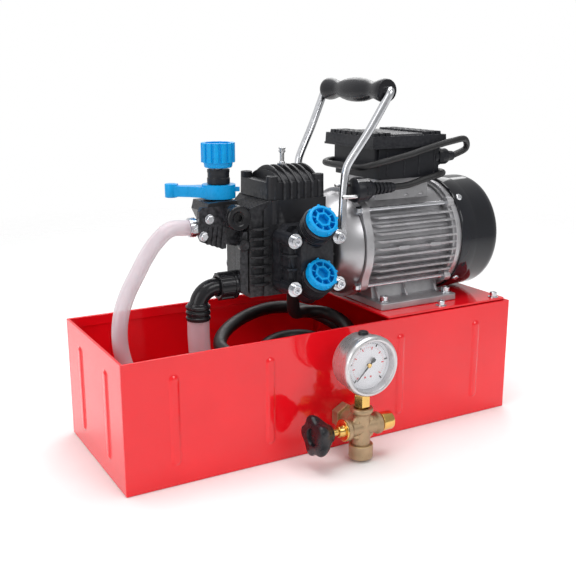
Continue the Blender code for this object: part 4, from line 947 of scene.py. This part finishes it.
def cover_with_fins():
    """Oil chamber lid: waist-high wall, four round corner bosses, fins arched over and down the front."""
    base, deck_z = span("top_cover")[0].z, 290.0
    shape = Shape()
    corners = []
    for cx, cy, start in ((10, 30, 0), (-49, 30, 90), (-49, -30, 180), (10, -30, 270)):
        corners += circle(6, 6, (cx, cy), math.radians(start), math.pi / 2)
    shape.prism(corners, (0, 0, base), X, Y, deck_z - base, inset=0.01)
    for x in (-48, 9):
        for y in (-30, 30):
            shape.lathe(((0, base + 0.4), (6.6, base + 0.4), (6.4, 296), (5.9, 296.5), (3.8, 296.5), (3.6, 295.2),
                         (0, 295.2)), (x, y, 0), Z, 32)
    shape.rod((PUMP_X, 0, 285), (PUMP_X, 0, 302.8), 8.3, 32)
    dome = circle(1.0, 24, start=0.0, sweep=math.pi)
    shape.prism([(33.0 * a, 288 + 12.5 * b) for a, b in dome] + [(-33, 286), (33, 286)], (-41, 0, 0), Y, Z, 44)
    cover = shape.make("oil_cover", PUMP_GREY, slot="pump_casting", stands_for="top_cover", bevel=1.0, steps=3)
    carve(cover, Shape().rod((PUMP_X, 0, base - 5), (PUMP_X, 0, 284), 24, 32),
          Shape().rod((PUMP_X, 0, 280), (PUMP_X, 0, 320), 3.2, 16))
    fins = Shape()
    for i in range(6):
        x = -37.5 + 8.6 * i
        crown = [(37.8 * t, 289 + 16.4 * (1 - abs(t) ** 1.9)) for t in (1 - j / 10 for j in range(21))]
        ring_in = [(31.0 * math.cos(a), 286 + 11 * math.sin(a)) for a in (math.pi * j / 20 for j in range(21))]
        fins.prism(crown + [(-37.8, base - 1), (-31, base - 1)] + ring_in[::-1]
                   + [(31, base - 1), (37.8, base - 1)], (x, 0, 0), Y, Z, 2.7)
    fins.make("cover_fins", PUMP_GREY, slot="pump_casting", bevel=0.55)
    screws = Shape()
    for x in (-48, 9):
        for y in (-30, 30):
            screw(screws, (x, y, 295.0), Z, 3.3, 1.4)
    screws.make("cover_screws", SATIN_BLACK, slot="black_plastic", bevel=0.15)
    valve = Shape()
    valve.hexagon((PUMP_X, 0, 303.0), (PUMP_X, 0, 306.4), 6.0)
    valve.lathe(((0, 292), (2.9, 292), (2.9, 306), (3.4, 306.5), (3.2, 308), (2.5, 308.6), (2.5, 317.5),
                 (3.8, 318.6), (3.9, 320.2), (3.0, 320.6), (3.0, 321.3), (3.8, 321.6), (3.9, 323.2), (3.4, 323.5),
                 (1.5, 323.5), (1.5, 321), (0, 321)), (PUMP_X, 0, 0), Z, 32)
    valve.make("air_stem", STAINLESS, slot="bright_steel", stands_for="air_valve", bevel=0.15)


def valve_frame(side, z):
    """A matrix whose +Z runs into the head along a valve's axis, from the middle of its cap's face."""
    mouth = Vector((PUMP_X + 2.0, side * 86.0, z + 1.8))
    inward = Vector((0, -side * math.cos(VALVE_TILT), -math.sin(VALVE_TILT)))
    across = X * side
    up = inward.cross(across)
    turn = Matrix((across, up, inward)).transposed().to_4x4()
    return Matrix.Translation(mouth) @ turn


def head(name, side):
    """Moulded head: stepped block with diagonal ribs, and two valve chambers with thin rings."""
    low, high = span(name)
    inner = min(abs(low.y), abs(high.y))
    shape = Shape()

    def slab(outline, near, far, inset=0.0):
        shape.prism(outline, (0, side * near, 0), X, Z, -side * (far - near), inset=inset)

    plate = [(-52, 178), (-46, 172), (8, 172), (14, 178), (14, 240), (8, 246), (-40, 246), (-52, 234)]
    slab(plate, inner, inner + 15, 0.01)
    slab([(-48, 180), (-42, 175), (4, 175), (10, 180), (10, 236), (4, 242), (-34, 242), (-48, 230)], inner + 14,
         inner + 26, 0.04)
    slab([(-33, 176), (-2, 176), (4, 184), (4, 232), (-2, 240), (-30, 240), (-38, 228), (-38, 186)], inner + 25,
         inner + 34.4, 0.08)
    for k in range(4):
        z = 186 + 14.5 * k
        slab([(-50, z), (8, z - 3), (8, z - 0.8), (-50, z + 2.4)], inner + 14, inner + 29.5)
    for x0, x1 in ((-50.5, -38), (-44, -31.5)):
        slab([(x0, 236), (x0 + 2.6, 238), (x1 + 2.6, 178), (x1, 177)], inner + 14, inner + 27)
    for x in (-45.5, 9):
        for z in (182, 233.5):
            shape.rod((x, side * (inner + 2), z), (x, side * (inner + 36.0), z), 7.6, 28, taper=7.0)
    for z in (197.5, 254.6):
        place = valve_frame(side, z)
        rings = [(0, 8.2), (18.0, 8.2)]
        for k in range(7):
            start = 9.8 + 3.4 * k
            rings += [(18.0, start), (19.3 - 0.25 * k, start + 0.5), (19.3 - 0.25 * k, start + 1.5),
                      (17.6 - 0.2 * k, start + 2.1), (17.6 - 0.2 * k, start + 3.3)]
        rings += [(15.5, 36), (15.0, 46), (0, 46)]
        shape.lathe(rings, None, None, 64, place=place)
    made = shape.make(name.replace("_", "_valve_"), SATIN_BLACK, slot="black_plastic", stands_for=name, bevel=0.9,
                      steps=3)
    recess = Shape().rod((PUMP_X, side * (inner - 5), AXIS_Z), (PUMP_X, side * (inner + 5.5), AXIS_Z), 24, 32)
    carve(made, recess)
    screws = Shape()
    for x in (-45.5, 9):
        for z in (182, 233.5):
            screw(screws, (x, side * (inner + 35.9), z), (0, side, 0), 5.4, 5.8, washer=8.0, washer_thick=1.5)
    screws.make(name + "_bolts", ZINC, slot="zinc_steel", bevel=0.25)


def cap(node_name, side, z):
    """Screw cap: rim with nubs, spokes in a ring-shaped pocket, and a hub with a hexagon socket."""
    place = valve_frame(side, z)
    shape = Shape()
    shape.lathe(((13.2, 0.4), (13.6, 0), (15.3, 0), (16.2, 0.5), (16.8, 1.8), (17.0, 8.6), (13.2, 8.6)), None,
                None, 64, place=place)
    shape.lathe(((0, 6.9), (13.8, 6.9), (13.8, 8.6), (0, 8.6)), None, None, 48, place=place)
    shape.lathe(((6.6, 0.3), (8.9, 0.3), (9.1, 0.8), (9.1, 7.2), (6.6, 7.2)), None, None, 6, place=place)
    shape.lathe(((0, 8.4), (8.4, 8.4), (8.4, 19), (0, 19)), None, None, 32, place=place)
    turn = place.to_3x3()
    for i in range(8):
        spin = turn @ Matrix.Rotation(2 * math.pi * (i + 0.5) / 8, 3, "Z")
        start = place.translation + (turn @ Z) * 1.1
        shape.prism([(7.4, -0.6), (13.8, -0.6), (13.8, 0.6), (7.4, 0.6)], start, spin @ X, spin @ Y, 6.0)
    for i in range(8):
        spin = turn @ Matrix.Rotation(2 * math.pi * i / 8, 3, "Z")
        start = place.translation + (turn @ Z) * 0.5
        shape.prism([(15.3, -1.5), (17.9, -1.1), (17.9, 1.1), (15.3, 1.5)], start, spin @ X, spin @ Y, 4.2)
    shape.make(node_name + "_moulded", AZURE, slot="blue_plastic", stands_for=node_name, bevel=0.35)


crankcase()
cover_with_fins()
for side, label in ((-1, "front"), (1, "rear")):
    head(f"{label}_head", side)
    cap(f"{label}_suction_cap", side, 197.5)
    cap(f"{label}_delivery_cap", side, 254.6)


# ---------------------------------------------------------------- control unit

def control_block():
    """Moulded regulator block: waisted body, port boss, manifold down to the suction port, ribs."""
    shape = Shape()
    side_on = [(-121.5, 262), (-119, 271.5), (-86, 272.5), (-84, 262), (-84, 240), (-80, 226), (-89, 224),
               (-104, 228), (-116, 231), (-119.5, 240), (-116, 250)]
    shape.prism(side_on, (0, 17, 0), X, Z, 40)
    shape.prism([(-119, 268), (-108, 272.4), (-90, 272.4), (-84, 268), (-84, 262), (-119, 262)], (0, 10, 0), X, Z,
                33)
    shape.rod((CONTROL_X, 0, 262), (CONTROL_X, 0, 273.0), 13.5, 40, soft=0.8)
    shape.rod((CONTROL_X, 0, 260), (CONTROL_X, 0, 288.3), 8.5, 40)
    shape.rod((-92, -36, 256), (-92, -15, 256), 13.5, 40, soft=0.8)
    shape.rod((-130, -12, 246), (-110, -12, 246), 8.5, 32, soft=0.5)
    shape.prism([(-131, 264), (-128, 268), (-103, 268), (-99, 262), (-99.5, 240), (-101, 222.8), (-105, 222.6),
                 (-129, 232), (-131.5, 238)], (0, -20.5, 0), X, Z, 5.2)
    for k in range(4):
        shape.prism([(-124 + 5.4 * k, 229.4 - 2.0 * k), (-122.2 + 5.4 * k, 228.7 - 2.0 * k),
                     (-119 + 5.4 * k, 247), (-121 + 5.4 * k, 247)], (0, -25.4, 0), X, Z, 1.9)
    shape.prism([(-88.5, 176), (-78.4, 176), (-78.4, 250), (-88.5, 250)], (0, -1, 0), X, Z, 19.8)
    shape.prism([(-88.4, 176), (-83, 172), (-79.4, 172), (-79.4, 240), (-84, 240), (-88.4, 228)], (0, -9, 0), X, Z,
                24)
    shape.rod((-96.5, -20, 181), (-84, -20, 181), 10, 32)
    shape.lathe(((0, 0), (6.5, 0), (6.5, 5), (5, 6), (0, 6)), (-84, -31, 226), -Y, 24)
    shape.lathe(((0, 0), (6.5, 0), (6.5, 5), (5, 6), (0, 6)), (-84, -26, 189), -Y, 24)
    body = shape.make("control_block", FITTING_BLACK, slot="black_plastic", stands_for="control_body", bevel=0.9,
                      steps=3)
    carve(body, Shape().rod((CONTROL_X, 0, 252), (CONTROL_X, 0, 300), 4.5, 32),
          Shape().rod((-92, -45, 256), (-92, -26.5, 256), 9.2, 32))
    screws = Shape()
    for x, z in ((-119.5, 255.5), (-126.5, 238.0)):
        screw(screws, (x, -25.6, z), -Y, 4.2, 3.0, drive="outer", washer=5.2, washer_thick=0.8)
    screws.make("control_screws", ZINC, slot="zinc_steel", bevel=0.2)
    plug = Shape()
    plug.lathe(((4.2, 3.2), (5.4, 2.6), (6.6, 1.2), (8.4, 0.4), (10.2, 0.0), (12.4, 0), (13.4, 1.2), (13.5, 5),
                (9, 5), (9, 13), (0.01, 13), (0.01, 6.5), (4.2, 6.5)), (-92, -41.3, 256), Y, 48)
    plug.ring((-92, -39.6, 256), (-92, -38.2, 256), 4.8, 6.6, 40)
    plug.make("round_port_plug", FITTING_BLACK, slot="black_plastic", stands_for="port_plug", bevel=0.3)


def hose_clamp():
    """Bright clip round the return hose's end, with its screw lug, over the barbed tail."""
    shape = Shape()
    shape.lathe(((3.3, -2), (4.9, -2), (4.9, 10), (9.4, 10), (9.5, 10.6), (9.5, 17.4), (9.4, 18), (3.3, 18)),
                (-120, -12, 246), -X, 48)
    shape.ring((-131.2, -12, 246), (-137, -12, 246), 9.3, 10.4, 48)
    shape.block((-137.4, -25.6, 242), (-132.4, -21.2, 250))
    screw(shape, (-135, -25.4, 246), -Y, 2.4, 1.6, drive="outer")
    shape.make("hose_clamp", ZINC, slot="zinc_steel", stands_for="return_barb", bevel=0.25)


def knob_and_lever():
    """Sleeve, fluted knob with its hollow crown, and the bypass lever with a teardrop arm."""
    low, high = span("knob_sleeve")
    sleeve = Shape()
    sleeve.lathe(((4.7, low.z), (12.2, low.z), (12.2, low.z + 6), (11.6, low.z + 6.6), (11.6, high.z - 4),
                  (12.0, high.z - 3), (12.0, high.z), (4.7, high.z)), (CONTROL_X, 0, 0), Z, 64)
    sleeve.make("sleeve", SATIN_BLACK, slot="black_plastic", stands_for="knob_sleeve", bevel=0.35)
    low, high = span("pressure_knob")
    knob = Shape()
    outline = []
    count = 14
    for i in range(count):
        for share, radius in ((0.0, 17.9), (0.14, 18.15), (0.30, 18.2), (0.46, 18.15), (0.58, 17.9),
                              (0.66, 16.3), (0.80, 16.0), (0.92, 16.3)):
            angle = 2 * math.pi * (i + share) / count
            outline.append((CONTROL_X + radius * math.cos(angle), radius * math.sin(angle)))
    knob.prism(outline, (0, 0, low.z + 7.0), X, Y, high.z - low.z - 7.2)
    knob.lathe(((4.4, low.z + 1.4), (14.2, low.z + 1.4), (14.9, low.z + 2.2), (15.6, low.z + 7.6),
                (4.4, low.z + 7.6)), (CONTROL_X, 0, 0), Z, 64)
    piece = knob.make("fluted_knob", AZURE, body="pressure_knob", slot="blue_plastic", stands_for="pressure_knob",
                      bevel=0.5)
    carve(piece, Shape().rod((CONTROL_X, 0, high.z - 5), (CONTROL_X, 0, high.z + 5), 13.6, 48),
          Shape().rod((CONTROL_X, 0, low.z - 5), (CONTROL_X, 0, high.z - 2), 4.35, 24))
    inside = Shape()
    inside.ring((CONTROL_X, 0, high.z - 5.2), (CONTROL_X, 0, high.z - 1.4), 4.6, 6.6, 32)
    for i in range(6):
        spin = Matrix.Rotation(math.pi * i / 3, 3, "Z")
        inside.prism([(6.2, -0.7), (14.0, -0.7), (14.0, 0.7), (6.2, 0.7)], (CONTROL_X, 0, high.z - 5.2), spin @ X,
                     spin @ Y, 3.2)
    inside.make("knob_ribs", AZURE, body="pressure_knob", slot="blue_plastic", bevel=0.2)
    low, high = span("bypass_lever")
    lever = Shape()
    lever.ring((0, 0, low.z), (0, 0, high.z), 9.0, 18.0, 64)
    reach = [(9.6, -15.0), (16, -12.6), (30, -7.2), (50, -5.0), (50, 5.0), (30, 7.2), (16, 12.6), (9.6, 15.0)]
    bore_side = circle(10.2, 5, start=math.pi / 3, sweep=-2 * math.pi / 3)
    lever.prism(reach + bore_side, (0, 0, low.z + 1.2), X, Y, high.z - low.z - 3.4)
    lever.prism([(-22.5, -0.9), (-16.5, -1.5), (-16.5, 1.5), (-22.5, 0.9)], (0, 0, low.z + 7), X, Y, 5)
    lever.rod((51.6, 0, low.z), (51.6, 0, high.z), 6.6, 32, soft=0.5)
    lever.block((44.5, -5.2, low.z + 0.4), (51, 5.2, high.z - 0.4))
    lever.turned_by(Matrix.Translation((CONTROL_X, 0, 0)) @ Matrix.Rotation(math.radians(147), 4, "Z"))
    lever.make("lever_arm", AZURE, body="bypass_lever", slot="blue_plastic", stands_for="bypass_lever", bevel=0.7,
               steps=3)


def suction_fittings():
    """Ribbed union nut, the elbow down to the suction hose, and the outlet under the pump."""
    low, high = span("union_nut")
    y, z = middle("union_nut").y, middle("union_nut").z
    nut = Shape()
    nut.lathe(((10.7, low.x), (13.6, low.x), (14.2, low.x + 0.8), (14.3, high.x - 1), (13.6, high.x),
               (10.7, high.x)), (0, y, z), X, 64)
    for i in range(10):
        angle = 2 * math.pi * i / 10
        spin = Matrix.Rotation(angle, 3, "X")
        nut.prism([(-1.9, 13.6), (1.9, 13.6), (1.4, 15.5), (-1.4, 15.5)], (low.x + 1.2, y, z), spin @ Y, spin @ Z,
                  14.5)
    nut.lathe(((10.7, high.x - 4.5), (15.3, high.x - 4.5), (15.5, high.x - 3.6), (15.5, high.x - 1.4),
               (15.2, high.x - 0.6), (10.7, high.x - 0.6)), (0, y, z), X, 64)
    nut.make("ribbed_nut", FITTING_BLACK, slot="black_plastic", stands_for="union_nut", bevel=0.4)
    bend, down_x = 20.0, -132.6
    mid_x, mid_z = down_x + bend, z - bend
    path = [Vector((-97.6, y, z)), Vector((-104, y, z)), Vector((-109, y, z))]
    path += [Vector((mid_x - bend * math.sin(a), y, mid_z + bend * math.cos(a)))
             for a in (math.radians(6 * i) for i in range(16))]
    path.append(Vector((down_x, y, 158)))
    elbow = Shape()
    elbow.sweep(path, 9.6, 40)
    for bottom in (147.2, 153.2, 159.2):
        elbow.lathe(((8, bottom), (12.2, bottom), (13.2, bottom + 1.0), (13.2, bottom + 3.6), (12.2, bottom + 4.6),
                     (8, bottom + 4.6)), (down_x, y, 0), Z, 48)
    elbow.lathe(((0, 147.2), (11.6, 147.2), (11.6, 164.5), (10.6, 166.4), (0, 166.4)), (down_x, y, 0), Z, 48)
    elbow.make("hose_elbow", FITTING_BLACK, slot="black_plastic", stands_for="suction_elbow", bevel=0.3,
               smooth=50)
    low, high = span("outlet_fitting")
    outlet = Shape()
    outlet.lathe(((0, low.z), (7, low.z), (7.4, low.z + 1.5), (6.6, low.z + 4.8), (0, low.z + 4.8)),
                 (8, 22, 0), Z, 32)
    outlet.hexagon((8, 22, low.z + 4.8), (8, 22, low.z + 12), 10)
    outlet.rod((8, 22, low.z + 12), (8, 22, high.z), 8.4, 32)
    outlet.make("outlet_tail", BRIGHT_BRASS, slot="brass", stands_for="outlet_fitting", bevel=0.4)


control_block()
hose_clamp()
knob_and_lever()
suction_fittings()


# ---------------------------------------------------------------- gauge and valve cross

CX, CY, CZ = middle("gauge_dial").x, middle("valve_spindle").y, middle("valve_spindle").z
GAUGE_Z, GAUGE_FRONT, GAUGE_DEPTH = middle("gauge_dial").z, span("gauge_case")[0].y, 32.0
DIAL_Y, NEEDLE_Y = -140.0, -143.0


def brass_fittings():
    """Raw cast cross with beaded mouths; hexagon, shank and nut behind; turned nipple and gauge stem."""
    cross = Shape()
    cross.lathe(((0, -22), (11.5, -22), (12.2, -21), (12.2, -17.8), (11.2, -16.8), (9.8, -15), (9.6, 15),
                 (11.0, 16.8), (11.9, 17.8), (11.9, 21.5), (11.0, 22.4), (0, 22.4)), (CX, CY, CZ), X, 48)
    cross.lathe(((0, -21), (9.8, -20), (9.6, 14.5), (11.0, 16.2), (12.3, 17.4), (12.3, 20.8), (11.6, 22),
                 (8.4, 22), (8.4, 19), (0, 19)), (CX, CY, CZ), Z, 48)
    cross.lathe(((0, 0), (9.8, 0), (9.8, 18), (0, 18)), (CX, CY, CZ), Y, 40)
    cross.rod((CX, CY + 16, CZ), (CX, -76.3, CZ), 10.3, 40)
    for sx in (-1, 1):
        for sz in (-1, 1):
            corner = (CX + sx * 8.4, CY - 2.5, CZ + sz * 8.4)
            cross.lathe(((0, -6), (3.4, -5.5), (4.6, 0), (3.4, 5.5), (0, 6)), corner, (sx, 0, -sz), 20)
    cross.lathe(((0, 1.8), (11.0, 1.8), (12.6, 2.7), (13.1, 4.1), (13.1, 17.4), (12.4, 18.2), (0, 18.2)),
                (CX, CY, 0), Z, 48)
    for start, end in ((-103.0, -92.0), (-89.7, -80.0)):
        cross.hexagon((CX, start, CZ), (CX, end, CZ), 15.0, phase=math.pi / 6)
    cross.make("cast_cross", CAST_BRASS, slot="brass", stands_for="brass_cross", bevel=0.55, steps=3, smooth=45)
    bright = Shape()
    bright.lathe(((6.5, 20), (9.0, 20), (9.0, 23.5), (10.2, 24.4), (10.2, 36.4), (9.4, 37.8), (6.9, 38),
                  (6.5, 37.2)), (CX, CY, CZ), X, 48)
    for k in range(7):
        bright.lathe(((9.6, 25.0 + 1.6 * k), (10.2, 25.5 + 1.6 * k), (9.6, 26.0 + 1.6 * k)), (CX, CY, CZ), X, 40)
    bright.hexagon((CX, CY, 61), (CX, CY, 74.4), 9.2)
    bright.rod((CX, CY, 55), (CX, CY, 80), 6.6, 32)
    bright.make("turned_nipple", BRIGHT_BRASS, slot="brass", bevel=0.35)
    bonnet = Shape()
    bonnet.lathe(((4.3, 0), (11.5, 0), (11.9, 0.4), (11.9, 1.4), (11.2, 1.9), (6.8, 1.9), (6.4, 2.6), (6.4, 7.4),
                  (5.8, 8), (4.3, 8)), (-17.3, CY, CZ), -X, 48)
    bonnet.make("valve_gland", BRIGHT_BRASS, slot="brass", stands_for="valve_bonnet", bevel=0.3)


def star_handwheel():
    """Five-lobed wheel with drooping lobes and a dished face, tapering back to its hub."""
    knob = Shape()
    rings = []
    stations_x = ((-57.0, 0.90, 0.8), (-56.2, 0.96, 0.9), (-54.4, 0.99, 1.0), (-51.5, 0.98, 1.0), (-48, 0.91, 1.0),
                  (-45, 0.82, 0.85), (-42, 0.71, 0.6), (-39, 0.59, 0.3), (-36.4, 0.5, 0.08), (-34.2, 0.45, 0.0))
    inner = ((-34.2, 4.4), (-53.4, 4.4))
    face = ((-53.4, 8.6), (-54.4, 9.0), (-56.4, 9.3), (-57.0, 9.8))
    count = 80
    for x, scale, lobe in stations_x:
        loop = []
        for i in range(count):
            angle = 2 * math.pi * i / count + 0.35
            swell = math.cos(5 * angle)
            radius = scale * (20.9 + 2.5 * lobe * (abs(swell) ** 0.8) * math.copysign(1, swell))
            loop.append(knob.mesh.verts.new((x, CY + radius * math.cos(angle), CZ + radius * math.sin(angle))))
        rings.append(loop)
    for x, radius in inner + face:
        rings.append([knob.mesh.verts.new((x, CY + radius * math.cos(2 * math.pi * i / count + 0.35),
                                           CZ + radius * math.sin(2 * math.pi * i / count + 0.35)))
                      for i in range(count)])
    for first, second in zip(rings, rings[1:] + rings[:1]):
        for k in range(count):
            n = (k + 1) % count
            knob.mesh.faces.new((first[k], first[n], second[n], second[k]))
    knob.make("star_wheel", GRIP, body="star_knob", slot="black_plastic", stands_for="star_knob", smooth=50)
    hub = Shape()
    hub.rod((-53.9, CY, CZ), (-51.2, CY, CZ), 8.9, 40)
    hub.make("wheel_face", GRIP, body="star_knob", slot="black_plastic", bevel=0.3)
    stem = Shape()
    stem.rod((-50.8, CY, CZ), (-5, CY, CZ), 4.1, 32)
    stem.make("valve_stem", BRIGHT_BRASS, body="valve_stem", slot="bright_steel", stands_for="valve_spindle",
              bevel=0.2)


def mark(shape, degrees, inner, outer, width, y, thick=0.4):
    """A raised tick on the dial; angles run clockwise from the top, as seen from the front."""
    a = math.radians(degrees)
    outward, side = Vector((math.sin(a), 0, math.cos(a))), Vector((math.cos(a), 0, -math.sin(a)))
    shape.prism([(inner, -width / 2), (outer, -width / 2), (outer, width / 2), (inner, width / 2)],
                Vector((CX, y, GAUGE_Z)), outward, side, thick)


def pressure_gauge():
    """Case, vent plug, dial with a black and a red scale, pointer on its own body, and the window."""
    back = GAUGE_FRONT + GAUGE_DEPTH
    case = Shape()
    case.lathe(((0, 0), (27, 0), (30.0, 1.2), (30.8, 3.2), (30.8, 20.6), (31.2, 21.2), (32.3, 21.6), (32.7, 22.4),
                (32.7, 28.2), (32.2, 30.2), (31.0, 31.6), (29.2, 32), (27.6, 31.4), (27.0, 30.2), (27.0, 22.6),
                (0, 22.6)), (CX, back, GAUGE_Z), -Y, 96)
    case.make("gauge_body", SATIN_STEEL, slot="bright_steel", stands_for="gauge_case", bevel=0.25, smooth=50)
    plug = Shape()
    plug.lathe(((0, 27), (5.5, 27), (5.5, 32.4), (4.8, 33.8), (3.4, 34.3), (0, 34.5)), (CX, CY, GAUGE_Z), Z, 32)
    plug.make("gauge_vent", SATIN_BLACK, slot="black_plastic", bevel=0.3)
    face = Shape()
    face.ring((CX, DIAL_Y, GAUGE_Z), (CX, DIAL_Y + 1, GAUGE_Z), 1.7, 26.8, 80)
    face.make("dial_plate", DIAL_WHITE, slot="white_dial", stands_for="gauge_dial", bevel=0.1)
    black, red = Shape(), Shape()
    start, sweep, y = -135.0, 270.0, DIAL_Y - 0.3
    for i in range(6):
        mark(black, start + sweep * i / 5, 20.4, 24.0, 1.35, y)
    for i in range(51):
        mark(black, start + sweep * i / 50, 23.0, 24.0, 0.3, y)
    for i in range(8):
        mark(red, start + sweep * i / 7.25, 16.6, 19.6, 1.1, y)
    for i in range(37):
        mark(red, start + sweep * i / 36.25, 18.6, 19.6, 0.3, y)
    for x in (-3.6, 3.6):
        red.rod((CX + x, DIAL_Y + 0.1, GAUGE_Z - 13.2), (CX + x, y, GAUGE_Z - 13.2), 1.1, 16)
    black.make("dial_marks", MARK_BLACK, slot="black_plastic")
    red.make("dial_marks_red", MARK_RED, slot="white_dial")
    needle = Shape()
    tip = math.radians(start)
    along, over = Vector((math.sin(tip), 0, math.cos(tip))), Vector((math.cos(tip), 0, -math.sin(tip)))
    needle.prism([(-9.4, -1.9), (-8.2, -2.5), (-6.6, -2.4), (-3.2, -0.9), (6, -0.8), (21.4, -0.35), (21.4, 0.35),
                  (6, 0.8), (-3.2, 0.9), (-6.6, 2.4), (-8.2, 2.5), (-9.4, 1.9)], (CX, NEEDLE_Y, GAUGE_Z), along,
                 over, 0.5)
    needle.rod((CX, -134, GAUGE_Z), (CX, -142.8, GAUGE_Z), 1.2, 16)
    needle.make("pointer", MARK_BLACK, body="gauge_pointer", slot="black_plastic", stands_for="gauge_needle",
                bevel=0.08)
    boss = Shape()
    boss.lathe(((0, 0), (2.6, 0), (2.4, 1.0), (1.8, 1.4), (0, 1.5)), (CX, -142.6, GAUGE_Z), -Y, 32)
    boss.make("pointer_boss", BRIGHT_BRASS, body="gauge_pointer", slot="black_plastic", bevel=0.1)
    glass = Shape()
    glass.rod((CX, -145.5, GAUGE_Z), (CX, -147.3, GAUGE_Z), 26.9, 80)
    glass.make("gauge_lens", WINDOW, slot="gauge_window", stands_for="gauge_glass", bevel=0.1)


brass_fittings()
star_handwheel()
pressure_gauge()


# ---------------------------------------------------------------- what shows of the CAD nodes themselves

SLOT_FINISHES = {
    "red_paint": RED, "aluminium_casting": CAST_ALUMINIUM, "zinc_steel": ZINC, "bright_steel": STAINLESS,
    "winding_copper": COPPER, "black_gloss_plastic": GLOSS_BLACK, "black_plastic": SATIN_BLACK,
    "pump_casting": PUMP_GREY, "blue_plastic": AZURE, "black_rubber": RUBBER, "brass": BRIGHT_BRASS,
    "clear_hose": CLEAR_HOSE, "gauge_window": WINDOW, "white_dial": DIAL_WHITE,
}
SLOT_OF = {part["node"]: part["material_slot"] for part in frame["record"]["subparts"]}
for name, item in frame["nodes"].items():
    for place in item.material_slots:
        place.material = SLOT_FINISHES[SLOT_OF[name]]


# ---------------------------------------------------------------- floor and light

def faded_card(reach_full, reach_none):
    """The floor's finish, which thins out with distance so the white backdrop takes over without a horizon."""
    made = finish("floor_card", (0.95, 0.95, 0.95), 0.75, spread=0.01, bump=0.03, depth=0.00005)
    tree = made.node_tree
    far = node(tree, "VectorMath", operation="LENGTH")
    tree.links.new(node(tree, "TexCoord").outputs["Object"], far.inputs[0])
    solid = remap(tree, far.outputs["Value"], reach_full, reach_none, 1.0, 0.0)
    tree.links.new(solid, tree.nodes["Principled BSDF"].inputs["Alpha"])
    return made


def studio():
    """Pale floor, a world that is brighter to the left and behind, and four soft lamps."""
    plane = bmesh.new()
    bmesh.ops.create_circle(plane, cap_ends=True, segments=96, radius=1.9)
    data = bpy.data.meshes.new("floor")
    plane.to_mesh(data)
    plane.free()
    floor = bpy.data.objects.new("floor", data)
    bpy.context.scene.collection.objects.link(floor)
    floor.location.z = -0.0005
    data.materials.append(faded_card(0.45, 1.7))
    world = bpy.data.worlds.new("studio")
    bpy.context.scene.world = world
    world.use_nodes = True
    tree = world.node_tree
    sky = tree.nodes["Background"]
    sky.inputs["Color"].default_value = (1.0, 1.0, 1.0, 1.0)
    heading = node(tree, "VectorMath", operation="DOT_PRODUCT")
    heading.inputs[1].default_value = (-0.66, 0.62, 0.30)  # where the world is brightest
    tree.links.new(node(tree, "TexCoord").outputs["Generated"], heading.inputs[0])
    glow = remap(tree, heading.outputs["Value"], -0.4, 0.7, 0.38, 0.72)
    seen = node(tree, "Mix", data_type="FLOAT")
    tree.links.new(node(tree, "LightPath").outputs["Is Camera Ray"], seen.inputs[0])
    tree.links.new(glow, seen.inputs[2])
    seen.inputs[3].default_value = 1.0
    tree.links.new(seen.outputs[0], sky.inputs["Strength"])
    lamps = (
        ("left_box", (-1.6, -0.5, 0.8), 0.8, 1.2, 6),
        ("front_box", (0.5, -1.9, 1.5), 1.2, 0.8, 11),
        ("top_box", (0.0, 0.0, 1.9), 1.6, 1.2, 22),
        ("rear_box", (0.9, 1.2, 1.2), 1.0, 0.9, 7),
    )
    for name, place, width, height, power in lamps:
        light = bpy.data.lights.new(name, "AREA")
        light.shape = "RECTANGLE"
        light.size = width
        light.size_y = height
        light.energy = power
        lamp = bpy.data.objects.new(name, light)
        bpy.context.scene.collection.objects.link(lamp)
        lamp.location = place
        aim = Vector((0, 0, 0.18)) - Vector(place)
        lamp.rotation_euler = aim.to_track_quat("-Z", "Y").to_euler()
    settings = bpy.context.scene.view_settings
    settings.view_transform = "Standard"
    settings.look = "None"


studio()
